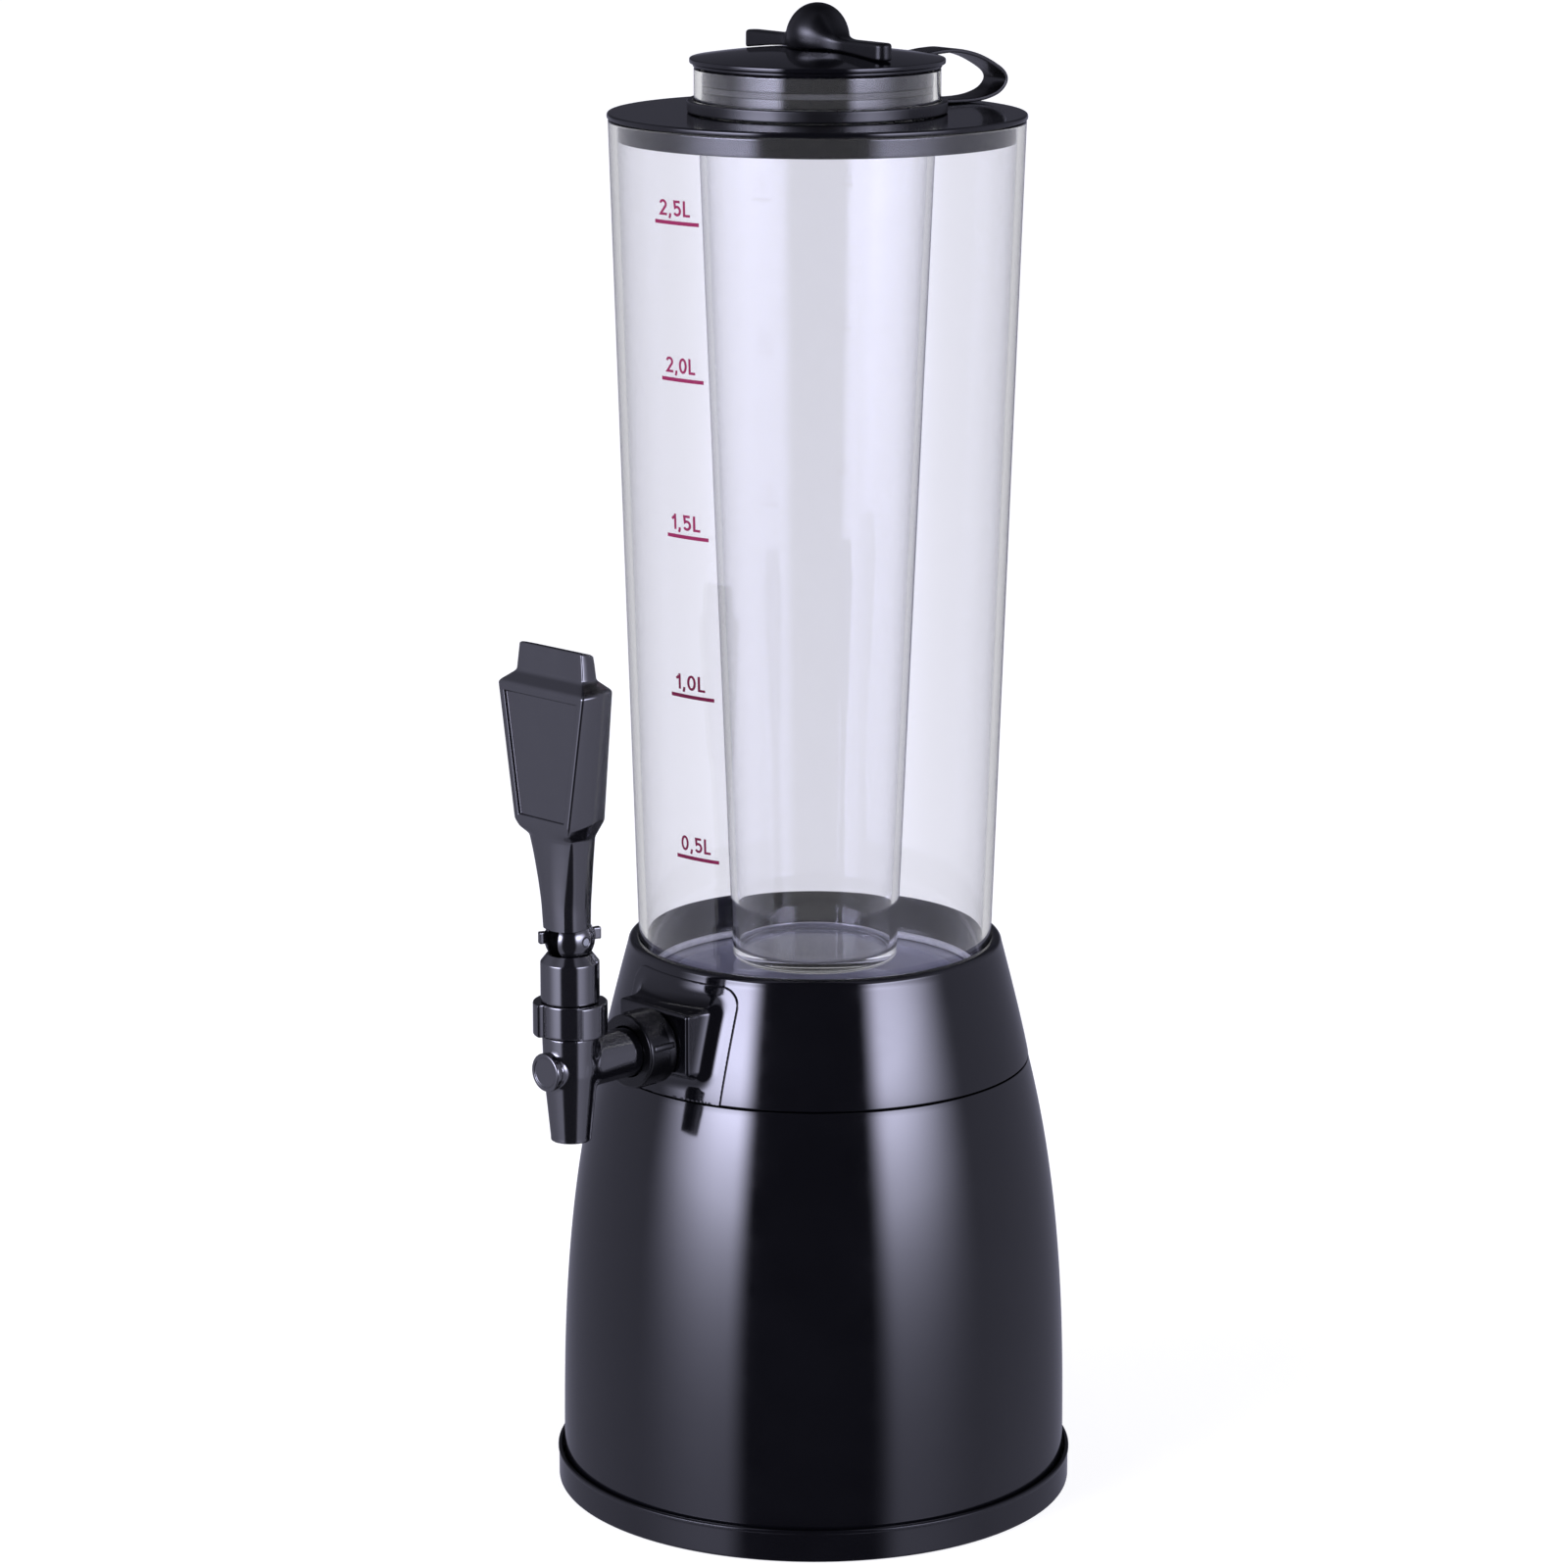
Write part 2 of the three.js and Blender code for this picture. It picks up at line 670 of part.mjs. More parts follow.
// Cap: a domed disc with a lip on the neck, a hollow plug inside it and a hole for the handle's peg
function cap() {
  const dome = steps(capRimRadius - capRimEdge, 0, 4).map((radius) => [radius, domeHeight(radius)]);
  const hollow = capGroove - plugWall;
  const under = steps(0, hollow, 2).map((radius) => [radius, domeHeight(radius) - capShell]);
  const body = turned([
    ...dome, ...under, [hollow, capPlugFoot], [capPlugRadius, capPlugFoot],
    [capPlugRadius, capSealFoot - seatGap], [capGroove, capSealFoot - seatGap],
    [capGroove, capSealFoot + capSealHeight + seatGap], [capPlugRadius, capSealFoot + capSealHeight + seatGap],
    [capPlugRadius, capLipFoot], [capLipRadius, capLipFoot], [capLipRadius, capRimFoot],
    [capRimRadius, capRimFoot], [capRimRadius, capRimTop - capRimEdge],
  ], capSides);
  const pegHole = turned(
    rodProfile(pegRadius + seatGap, capTop - pegDepth - cutOverrun, capTop + cutOverrun), smallSides,
  );
  return piece('cap', body.subtract(pegHole), glossBlack);
}

function capSeal() {
  const seal = turned(ringProfile(
    capGroove + seatGap, neckBore - seatGap, capSealFoot, capSealFoot + capSealHeight,
  ), capSides);
  return piece('cap_seal', seal, rubberGrey);
}

// Handle on the cap: a round knob on a bar that lies across the dome, with a peg into the cap
function capHandle() {
  const knobCentre = capTop + knobHeight - knobRadius;
  const barFoot = domeHeight(gripHalfLength) + gripLift;
  const knob = ball(knobRadius).translate([0, 0, knobCentre]);
  const domeEdge = capRimRadius + cutOverrun;
  const room = turned([
    [0, capLipFoot], [domeEdge, capLipFoot],
    ...steps(domeEdge, 0, 4).map((radius) => [radius, domeHeight(radius) + seatGap]),
  ], capSides);
  const peg = turned(rodProfile(pegRadius, capTop - pegDepth, knobCentre), smallSides);
  const handle = knob.add(gripBar(barFoot, barFoot + gripHeight)).subtract(room).add(peg);
  return piece('cap_handle', handle, jetBlack);
}

// The bar along X, with half-round ends and softened edges
function gripBar(low, high) {
  const ring = (height, inset) => {
    const radius = gripHalfWidth - inset;
    const right = steps(-Math.PI / 2, Math.PI / 2, 6).map((angle) => new THREE.Vector3(
      gripHalfLength - gripHalfWidth + radius * Math.cos(angle), radius * Math.sin(angle), height,
    ));
    return [...right, ...right.map(({ x, y, z }) => new THREE.Vector3(-x, -y, z))];
  };
  return lofted([ring(low, gripEdge), ring(low + gripEdge, 0), ring(high - gripEdge, 0), ring(high, gripEdge)]);
}

// Tether: a ring round the ice tube's neck, and a band that loops up to the cap's rim
function capStrap() {
  const ringInner = neckRadius + seatGap;
  const ring = turned(
    ringProfile(ringInner, ringInner + strapRingWall, neckFoot, neckFoot + strapRingHeight), capSides,
  );
  const half = strapThickness / 2;
  const bandFoot = neckFoot + strapFootLift + half;
  const bendRadius = strapRise / 2;
  const bend = new THREE.Vector3(0, strapReach - half - bendRadius, bandFoot + bendRadius);
  const capEnd = new THREE.Vector3(0, capRimRadius + seatGap, capRimFoot + capRimThickness / 2);
  const arc = steps(-Math.PI / 2, Math.PI / 2, 8).map((angle) => new THREE.Vector3(
    0, bend.y + bendRadius * Math.cos(angle), bend.z + bendRadius * Math.sin(angle),
  ));
  const arcEnd = arc.at(-1);
  const sag = new THREE.Vector3(0, (arcEnd.y + capEnd.y) / 2, arcEnd.z);
  const toCap = new THREE.QuadraticBezierCurve3(arcEnd, sag, capEnd).getPoints(4).slice(1);
  const start = new THREE.Vector3(0, ringInner + strapRingWall / 2, bandFoot);
  return piece('cap_strap', ring.add(bandAlong([start, ...arc, ...toCap])), pliantBlack);
}

// A flat band of the strap's width along a route in the Y-Z plane, cut upright where it ends
function bandAlong(route) {
  const rings = route.map((place, index) => {
    const after = route[Math.min(index + 1, route.length - 1)];
    const along = after.clone().sub(route[Math.max(index - 1, 0)]).normalize();
    const side = new THREE.Vector3(0, -along.z, along.y).multiplyScalar(strapThickness / 2);
    if (index === route.length - 1) side.set(0, 0, -strapThickness / 2);
    return [[-1, -1], [1, -1], [1, 1], [-1, 1]].map(([across, out]) => (
      new THREE.Vector3(across * strapWidth / 2, 0, 0).add(place).addScaledVector(side, out)
    ));
  });
  return lofted(rings);
}

// Union nut that draws the tap's tail against the casing's spigot
function unionNut() {
  const shankHole = shankRadius + seatGap;
  let nut = turnedOutward([
    [nutBore, nutStart], [nutRadius + nutFlangeProud, nutStart],
    [nutRadius + nutFlangeProud, nutStart + nutFlangeLength], [nutRadius, nutStart + nutFlangeLength],
    [nutRadius, nutEnd - nutEdge], [nutRadius - nutEdge, nutEnd], [shankHole, nutEnd], [shankHole, nutShelf],
    [nutBore, nutShelf],
  ]);
  const rib = box(
    [nutRadius - nutWall / 2, nutEdge * 2 - nutEnd, -nutRibWidth / 2],
    [nutRadius + nutRibProud, -nutStart - nutFlangeLength / 2, nutRibWidth / 2],
  );
  for (let index = 0; index < nutRibs; index += 1) {
    const turn = index * Math.PI * 2 / nutRibs - nutRibTurn;
    nut = nut.add(rib.rotate([0, THREE.MathUtils.radToDeg(turn), 0]));
  }
  return piece('union_nut', nut, softBlack);
}

function shankWasher() {
  const washer = turnedOutward(ringProfile(
    outletBore + seatGap, tailRadius, shankWasherReach, shankWasherReach + shankWasherThickness,
  ));
  return piece('shank_washer', washer, rubberGrey);
}

// Tap body: a level shank, an upright barrel that narrows to the spout, and a hub for the front plug
function tapBody() {
  const tail = tailReach - tapReach;
  const barrel = turned([
    [0, -spoutDrop], [spoutRadius - spoutEdge, -spoutDrop], [spoutRadius, spoutEdge - spoutDrop],
    [barrelWaistRadius, -barrelWaistDrop], [barrelTopRadius, barrelTopRise], [collarRadius, barrelTopRise],
    [collarRadius, collarTop], [0, collarTop],
  ], tapSides);
  const shank = turnedOutward([
    [0, tail], [tailRadius, tail], [tailRadius, tail + tailFlange], [shankRadius, tail + tailFlange],
    [shankRadius, 0], [0, 0],
  ]);
  const hub = turnedOutward(rodProfile(plugHubRadius, 0, plugHubReach));
  const inside = turned([
    [0, -spoutDrop - cutOverrun], [spoutBore, -spoutDrop - cutOverrun], [spoutBore, -throatDrop],
    [throatBore, -throatDrop], [throatBore, throatTop], [chamberBore, throatTop],
    [chamberBore, collarTop + cutOverrun], [0, collarTop + cutOverrun],
  ], tapSides);
  const inlet = turnedOutward(rodProfile(outletBore, tail - cutOverrun, 0), smallSides);
  const plugHole = turnedOutward(rodProfile(plugStemRadius + seatGap, 0, plugHubReach + cutOverrun), smallSides);
  const body = barrel.add(shank).add(hub).subtract(inside).subtract(inlet).subtract(plugHole);
  return piece('tap_body', body, softBlack);
}

// Front plug: a round head, and a grooved stem that closes the body's front bore
function frontPlug() {
  const groove = plugStemRadius - plugSealDepth;
  const grooveNear = plugSealReach - plugSealWidth / 2 - seatGap;
  const grooveFar = plugSealReach + plugSealWidth / 2 + seatGap;
  const headFront = plugHeadBack + plugHeadThickness;
  const plug = turnedOutward([
    [0, chamberBore], [plugStemRadius, chamberBore], [plugStemRadius, grooveNear], [groove, grooveNear],
    [groove, grooveFar], [plugStemRadius, grooveFar], [plugStemRadius, plugHeadBack],
    [plugHeadRadius, plugHeadBack], [plugHeadRadius, headFront - plugHeadEdge],
    [plugHeadRadius - plugHeadEdge, headFront], [0, headFront],
  ]);
  return piece('front_plug', plug, softBlack);
}

function plugSeal() {
  const inner = plugStemRadius - plugSealDepth + pinGap;
  const outer = plugStemRadius + pinGap / 2;
  const seal = turnedOutward(
    ringProfile(inner, outer, plugSealReach - plugSealWidth / 2, plugSealReach + plugSealWidth / 2), smallSides,
  );
  return piece('plug_seal', seal, rubberBlack);
}

// Flat seal between the body's collar and the bonnet
function bonnetSeal() {
  const foot = collarTop + seatGap / 2;
  const seal = turned(ringProfile(chamberBore, collarRadius, foot, foot + bonnetSealThickness), tapSides);
  return piece('bonnet_seal', seal, rubberGrey);
}

// Bonnet: an upright cylinder over the body, with a piston room, a cup for the ball and a tongue
function bonnet() {
  const shell = turned([
    [0, bonnetFoot], [bonnetFlangeRadius, bonnetFoot], [bonnetFlangeRadius, bonnetFoot + bonnetFlangeThickness],
    [bonnetNeckRadius, bonnetFoot + bonnetFlangeThickness], [bonnetNeckRadius, bonnetNutTop + seatGap],
    [bonnetRadius, bonnetNutTop + seatGap], [bonnetRadius, bonnetShoulderRise],
    [bonnetTopRadius, bonnetTopRise], [0, bonnetTopRise],
  ], tapSides);
  const pistonRoom = turned(rodProfile(chamberBore, bonnetFoot - cutOverrun, pistonRoof), tapSides);
  const rodRoom = turned(rodProfile(pullRodRadius + seatGap, pistonRoof - cutOverrun, pivotRise), smallSides);
  const cup = ball(cupRadius).translate([0, 0, pivotRise]);
  const hollow = pistonRoom.add(rodRoom.translate([0, pullRodOffset, 0])).add(cup);
  return piece('bonnet', shell.subtract(hollow).add(tongue()), softBlack);
}

// The tongue that stands in the lever's slot and carries the pivot pin
function tongue() {
  const blade = box(
    [-tongueHalfWidth, -tongueRadius, pivotRise - cupRadius - bonnetRoof / 2],
    [tongueHalfWidth, tongueRadius, pivotRise],
  );
  const level = [0, 0, pivotRise];
  const eye = crossRod(tongueRadius, tongueHalfWidth).translate(level);
  const hole = crossRod(pinRadius + pinGap, tongueHalfWidth + cutOverrun).translate(level);
  return blade.add(eye).subtract(hole);
}

// Bonnet nut: a sleeve over the body's collar and the bonnet's flange, with two broad lugs for the fingers
function bonnetNut() {
  const bore = Math.max(collarRadius, bonnetFlangeRadius) + seatGap;
  const neckHole = bonnetNeckRadius + seatGap;
  let nut = turned([
    [bore, bonnetNutFoot], [bonnetNutRadius, bonnetNutFoot], [bonnetNutRadius, bonnetNutTop],
    [neckHole, bonnetNutTop], [neckHole, bonnetNutShelf], [bore, bonnetNutShelf],
  ], tapSides);
  for (const turn of [lugTurn, lugTurn + Math.PI]) {
    const lug = new THREE.Shape();
    lug.absarc(0, 0, lugRadius, turn - lugSpan / 2, turn + lugSpan / 2, false);
    lug.absarc(0, 0, (bore + bonnetNutRadius) / 2, turn + lugSpan / 2, turn - lugSpan / 2, true);
    const geometry = new THREE.ExtrudeGeometry(lug, {
      depth: bonnetNutHeight - seatGap * 2, bevelEnabled: false, curveSegments: 9,
    });
    geometry.translate(0, 0, bonnetNutFoot + seatGap);
    nut = nut.add(solidOf(geometry));
  }
  return piece('bonnet_nut', nut, softBlack);
}

// One cross-section of the lever, with sharp front corners, rounded back corners and its front towards -Y
function leverRing(height, halfWidth, front, back, round) {
  const backRight = steps(0, Math.PI / 2, 3).map((angle) => new THREE.Vector3(
    halfWidth - round + round * Math.cos(angle), back - round + round * Math.sin(angle), height,
  ));
  const backLeft = backRight.map(({ x, y, z }) => new THREE.Vector3(-x, y, z)).reverse();
  const frontCorners = [-halfWidth, halfWidth].map((x) => new THREE.Vector3(x, -front, height));
  return [...frontCorners, ...backRight, ...backLeft];
}

// Lever: a paddle with a bare recessed panel and a crown, a waisted stem, and a slotted ball foot
function lever() {
  const crown = crownHalfWidth - crownTaper;
  const handle = lofted([
    leverRing(0, stemFootHalfWidth, stemFront, stemBack, stemRound),
    leverRing(stemTop, stemTopHalfWidth, stemFront, stemBack, stemRound),
    leverRing(paddleFoot, paddleFootHalfWidth, paddleFront, paddleBack, paddleRound),
    leverRing(paddleTop, paddleTopHalfWidth, paddleFront, paddleBack, paddleRound),
    leverRing(crownFoot, crownHalfWidth, crownFront, crownBack, crownRound),
    leverRing(leverLength, crown, crownFront - crownTaper, crownBack, crownRound),
  ]).subtract(panelRecess()).rotate([THREE.MathUtils.radToDeg(leverLean), 0, 0]);
  const slotEnd = nubReach + cutOverrun;
  const slot = box([-slotWidth / 2, -slotEnd, -slotEnd], [slotWidth / 2, slotEnd, slotRoof]);
  const pinHole = crossRod(pinRadius + pinGap, ballRadius + cutOverrun);
  const crank = crossRod(crankRadius, slotWidth / 2 + ballRadius / 4).translate([0, crankReach, -crankDrop]);
  const foot = ball(ballRadius).add(stopNub(nubTurn)).add(stopNub(nubTurn + Math.PI));
  return piece('lever', handle.add(foot).subtract(slot).subtract(pinHole).add(crank), softBlack);
}

// The shallow trapezoid in the paddle's front face
function panelRecess() {
  const halfWidthAt = (height) => THREE.MathUtils.mapLinear(
    height, paddleFoot, paddleTop, paddleFootHalfWidth, paddleTopHalfWidth,
  ) - panelMargin;
  const shape = new THREE.Shape();
  const heights = [paddleFoot + panelMargin / 2, paddleTop - panelMargin];
  for (const height of heights) shape.lineTo(halfWidthAt(height), height);
  for (const height of heights.reverse()) shape.lineTo(-halfWidthAt(height), height);
  return sweptOutward(shape, paddleFront - panelDepth, paddleFront + cutOverrun);
}

// A small block on the ball, which meets the bonnet's bevel when the lever is fully down
function stopNub(turn) {
  const nub = box(
    [-nubWidth / 2, ballRadius / 2, nubRise - nubHeight / 2], [nubWidth / 2, nubReach, nubRise + nubHeight / 2],
  );
  return nub.rotate([0, 0, THREE.MathUtils.radToDeg(turn)]);
}

function pivotPin() {
  return piece('pivot_pin', crossRod(pinRadius, ballRadius - seatGap), zincSteel);
}

// Valve stem: a piston in the bonnet, a rod down to the valve washer and a pull rod up to the lever's crank
function valveStem() {
  const grooveRadius = pistonRadius - stemSealWidth;
  const grooveFoot = stemSealFoot - seatGap;
  const grooveTop = stemSealFoot + stemSealHeight + seatGap;
  const pistonTop = pistonRise + pistonHeight;
  const spool = turned([
    [0, throatTop], [valveTipRadius, throatTop], [valveTipRadius, valveWasherTop + seatGap],
    [valveRodRadius, valveWasherTop + seatGap], [valveRodRadius, pistonRise], [pistonRadius, pistonRise],
    [pistonRadius, grooveFoot], [grooveRadius, grooveFoot], [grooveRadius, grooveTop],
    [pistonRadius, grooveTop], [pistonRadius, pistonTop], [0, pistonTop],
  ], tapSides);
  const crankRise = pivotRise - crankDrop;
  const slotNear = crankReach - crankRadius - pinGap;
  const slotFar = crankArm + crankRadius + pinGap;
  const slotHalf = crankRadius + pinGap;
  const eye = box(
    [-eyeHalfWidth, slotNear - eyeWall, crankRise - slotHalf - eyeWall],
    [eyeHalfWidth, slotFar + eyeWall, crankRise + slotHalf + eyeWall],
  );
  const eyeHole = box(
    [-eyeHalfWidth - cutOverrun, slotNear, crankRise - slotHalf],
    [eyeHalfWidth + cutOverrun, slotFar, crankRise + slotHalf],
  );
  const pullRod = turned(rodProfile(pullRodRadius, pistonTop - eyeWall, crankRise - slotHalf), smallSides);
  const stem = spool.add(pullRod.translate([0, pullRodOffset, 0])).add(eye).subtract(eyeHole);
  return piece('valve_stem', stem, softBlack);
}

function stemSeal() {
  const inner = pistonRadius - stemSealWidth + pinGap;
  const seal = turned(
    ringProfile(inner, chamberBore - pinGap, stemSealFoot, stemSealFoot + stemSealHeight), tapSides,
  );
  return piece('stem_seal', seal, rubberBlack);
}

function valveWasher() {
  const washer = turned(
    ringProfile(valveTipRadius + pinGap, valveWasherRadius, valveWasherFoot, valveWasherTop), smallSides,
  );
  return piece('valve_washer', washer, rubberBlack);
}

// Base and casing
const tower = new THREE.Group();
tower.add(baseTray(), nonSlipMat(), ...baseScrews(), lowerCasing(), upperCasing());

// Tank and what stands in it
tower.add(drainBowl(), outletSeal(), tankGasket(), tank(), lid(), iceTube());

// Cap, turned a little as it sits in the photograph
const capGroup = new THREE.Group();
capGroup.rotation.z = capTurn;
capGroup.add(cap(), capSeal(), capHandle(), capStrap());
tower.add(capGroup);

// Joint between casing and tap, on the shank's axis
const shankGroup = new THREE.Group();
shankGroup.position.z = tapHeight;
shankGroup.add(unionNut(), shankWasher());
tower.add(shankGroup);

// Tap, from the point where the shank's axis meets the barrel's
const tapGroup = new THREE.Group();
tapGroup.position.set(0, -tapReach, tapHeight);
tapGroup.add(tapBody(), frontPlug(), plugSeal(), bonnetSeal(), bonnet(), bonnetNut());
tapGroup.add(valveStem(), stemSeal(), valveWasher());
tower.add(tapGroup);

// Lever and its pin, from the pivot
const pivotGroup = new THREE.Group();
pivotGroup.position.z = pivotRise;
pivotGroup.add(lever(), pivotPin());
tapGroup.add(pivotGroup);

export default tower;
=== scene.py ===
# Drinks tower: a clear tapered tank with a hanging ice tube, on a black bell-shaped base with a lever tap.
# The sizes below are in millimetres, and the meshes and the sidebar's values are in metres.
import math
from functools import partial

import bmesh
import bpy
import numpy as np
from mathutils import Matrix, Vector


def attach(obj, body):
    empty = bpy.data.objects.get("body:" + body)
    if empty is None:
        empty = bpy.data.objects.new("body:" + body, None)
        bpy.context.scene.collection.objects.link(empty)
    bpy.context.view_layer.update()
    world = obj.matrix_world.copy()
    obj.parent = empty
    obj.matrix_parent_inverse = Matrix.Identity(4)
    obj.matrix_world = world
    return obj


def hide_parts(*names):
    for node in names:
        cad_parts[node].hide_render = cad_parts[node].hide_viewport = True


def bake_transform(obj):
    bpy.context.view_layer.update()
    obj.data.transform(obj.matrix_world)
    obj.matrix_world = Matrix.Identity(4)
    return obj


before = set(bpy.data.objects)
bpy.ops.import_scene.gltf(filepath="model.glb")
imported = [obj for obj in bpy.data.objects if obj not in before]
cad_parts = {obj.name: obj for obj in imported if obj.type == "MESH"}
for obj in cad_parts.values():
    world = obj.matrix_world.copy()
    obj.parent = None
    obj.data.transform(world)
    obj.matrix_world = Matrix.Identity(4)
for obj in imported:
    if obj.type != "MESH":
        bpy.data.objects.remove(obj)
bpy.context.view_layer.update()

bl_info = {
    "name": "Drinks Tower",
    "version": (1, 0, 0),
    "blender": (4, 5, 0),
    "location": "View3D > Sidebar > Tower",
    "description": "Dresses a jointed drinks tower with a lever tap",
    "category": "Object",
}

MM = 0.001

# Heights and radii of the tower
MAT_RADIUS = 60.0
MAT_TOP = 2.0
RING_LIP = 90.3
RING_OUTER = 90.0
RING_INNER = 88.9
RING_FOOT = 0.5
RING_TOP = 11.8
TRAY_UNDER = 2.3
TRAY_FLOOR = 4.7
CASING_FOOT = 5.0
CASING_FOOT_RADIUS = 88.0
CASING_WALL = 3.0
SEAM = 154.0
SEAM_GAP = 0.6
SEAM_RADIUS = 74.4
BELL_POWER = 2.75
CASING_TOP = 196.8
RIM_ROUND = 2.2
SHOULDER_RADIUS = 64.6
SHOULDER_POWER = 1.1
COLLAR_BORE = 61.2
LEDGE_TOP = 179.3
LEDGE_UNDER = 176.7
LEDGE_RADIUS = 54.8
PAD_HALF = 25.5
PAD_TOP = 193.2
PAD_CORNER = 7.0
PAD_PROUD = 0.4
PAD_MIDDLE = 1.2
PAD_EDGE = 0.45
BLOCK_FLARE = 6.5
BLOCK_HALF = 16.8
BLOCK_BELOW = 8.4
BLOCK_ABOVE = 13.2
BLOCK_BACK = 58.5
SCREW_CIRCLE = 81.7
TANK_FOOT = 184.8
TANK_TOP = 477.9
TANK_FOOT_RADIUS = 60.5
TANK_TOP_RADIUS = 70.0
TANK_WALL = 2.8
BOWL_TOP = 182.2
BOWL_FLOOR = 167.0
LID_UNDER = 478.2
LID_TOP = 480.0
LID_RADIUS = 70.4
NECK_FOOT = 480.3
NECK_TOP = 494.8
ICE_FOOT = 189.5
CAP_RIM_FOOT = 496.3
CAP_RIM_TOP = 498.0
CAP_RIM_RADIUS = 42.8
CAP_DOME_RISE = 3.4
KNOB_CENTRE = 506.3
KNOB_RADIUS = 10.0
BAR_END = 37.5
BAR_HALF = 3.1
BAR_EDGE = 1.1
CAP_TURN = math.radians(-7)

# Sizes of the tap, whose heights start at the shank's axis and whose reach ends at the barrel's axis
TAP_HEIGHT = 172.0
TAP_REACH = 114.5
PIVOT_RISE = 44.0
BLOCK_REACH = 77.2
BALL_RADIUS = 8.4
LEVER_LEAN = math.radians(2.6)
LEVER_LENGTH = 99.0
SHANK_BORE = 4.4
CUP_RADIUS = 8.7
CUP_RIM = 39.0
LAID_DOWN = Matrix.Rotation(math.radians(90), 4, "X")

# Cells of the grids that moulded shapes are made on
MOULD_CELL = 0.4
FINE_CELL = 0.3

# Litre marks: thickness of the figures' strokes, gap between figures, gap over the line, proud of the tank
STROKE = 0.84
FIGURE_GAP = 0.72
LINE_GAP = 1.6
INK_LIFT = 0.02
INK_DEPTH = 0.06


def linear(code):
    """Linear colour from an sRGB hex code."""
    shares = [int(code[i : i + 2], 16) / 255 for i in (1, 3, 5)]
    return tuple(s / 12.92 if s <= 0.04045 else ((s + 0.055) / 1.055) ** 2.4 for s in shares)


def length(name, default, description):
    return bpy.props.FloatProperty(
        name=name, default=default * MM, description=description, unit="LENGTH", precision=4
    )


def amount(name, default, description):
    return bpy.props.FloatProperty(name=name, default=default, min=0, description=description)


def colour(name, default, description):
    return bpy.props.FloatVectorProperty(
        name=name, default=linear(default), description=description, subtype="COLOR", min=0, max=1
    )


class TowerSizes(bpy.types.PropertyGroup):
    lid_edge: length("Lid edge", 0.45, "Rounding of the lid's lower outer edge")
    seam_edge: length("Seam edge", 0.3, "Rounding of the two edges that meet at the casing's seam")
    tap_fillet: length("Tap fillet", 1.6, "Fillet where the tap's shank and hub meet its barrel")
    lever_edge: length("Lever edge", 1.1, "Rounding of the lever's front corners")
    figure_height: length("Figure height", 5.2, "Height of the litre marks' figures")
    line_height: length("Line thickness", 1.25, "Thickness of the line under each litre mark")
    round_sides: bpy.props.IntProperty(
        name="Round sides", default=160, min=24, description="Sides of the tower's round pieces"
    )


class TowerColours(bpy.types.PropertyGroup):
    casing: colour("Casing", "#050507", "Gloss black of the casing, lid and cap")
    tap: colour("Tap", "#060608", "Black of the tap's moulded pieces and the lever")
    handle: colour("Handle", "#040405", "Black of the cap's handle and the union nut")
    strap: colour("Strap", "#060607", "Black of the soft strap")
    # The bowl's grey is painted light: it stands in for the light and reflections seen on the bowl through
    # the tank
    bowl: colour("Bowl", "#5e5e6a", "Grey of the bowl under the tank")
    tank: colour("Tank", "#f2f2f5", "Tint of the tank's clear wall")
    ice_tube: colour("Ice tube", "#fefeff", "Tint of the ice tube's clear wall")
    marks: colour("Marks", "#74183f", "Ink of the litre marks")
    seals: colour("Seals", "#8b8b90", "Grey of the silicone seals")


class TowerStage(bpy.types.PropertyGroup):
    floor_size: length("Floor size", 60000, "Side of the floor")
    world_light: amount("World light", 1.0, "Strength of the world")
    left_light: amount("Left field", 21.5, "Radiance of the bright field that the left side reflects")
    right_light: amount("Right field", 14.8, "Radiance of the bright field that the right side reflects")


# Shapes as pairs of corner points and faces, in millimetres


def rounded(corners, closed=True, steps=4):
    """Profile points from (radius, height, rounding) corners, with a support point beside each rounding."""
    points = [np.array(c[:2], float) for c in corners]
    count = len(points)
    profile = []
    for i, corner in enumerate(corners):
        turn = corner[2] if len(corner) > 2 else 0
        here = points[i]
        if turn <= 0 or (not closed and i in (0, count - 1)):
            profile.append(tuple(here))
            continue
        before = points[i - 1] - here
        after = points[(i + 1) % count] - here
        reach_before, reach_after = np.linalg.norm(before), np.linalg.norm(after)
        before, after = before / reach_before, after / reach_after
        half = math.acos(max(-1, min(1, float(before @ after)))) / 2
        if half > math.radians(89):
            profile.append(tuple(here))
            continue
        tangent = min(turn / math.tan(half), 0.46 * reach_before, 0.46 * reach_after)
        radius = tangent * math.tan(half)
        middle = before + after
        centre = here + middle / np.linalg.norm(middle) * math.hypot(tangent, radius)
        first, last = here + before * tangent - centre, here + after * tangent - centre
        sweep = math.acos(max(-1, min(1, float(first @ last) / radius**2)))
        support_before = min(0.35, (0.5 * reach_before - tangent) * 0.6)
        support_after = min(0.35, (0.5 * reach_after - tangent) * 0.6)
        profile.append(tuple(here + before * (tangent + support_before)))
        for k in range(steps + 1):
            share = k / steps
            mixed = math.sin((1 - share) * sweep) * first + math.sin(share * sweep) * last
            profile.append(tuple(centre + mixed / math.sin(sweep)))
        profile.append(tuple(here + after * (tangent + support_after)))
    return profile


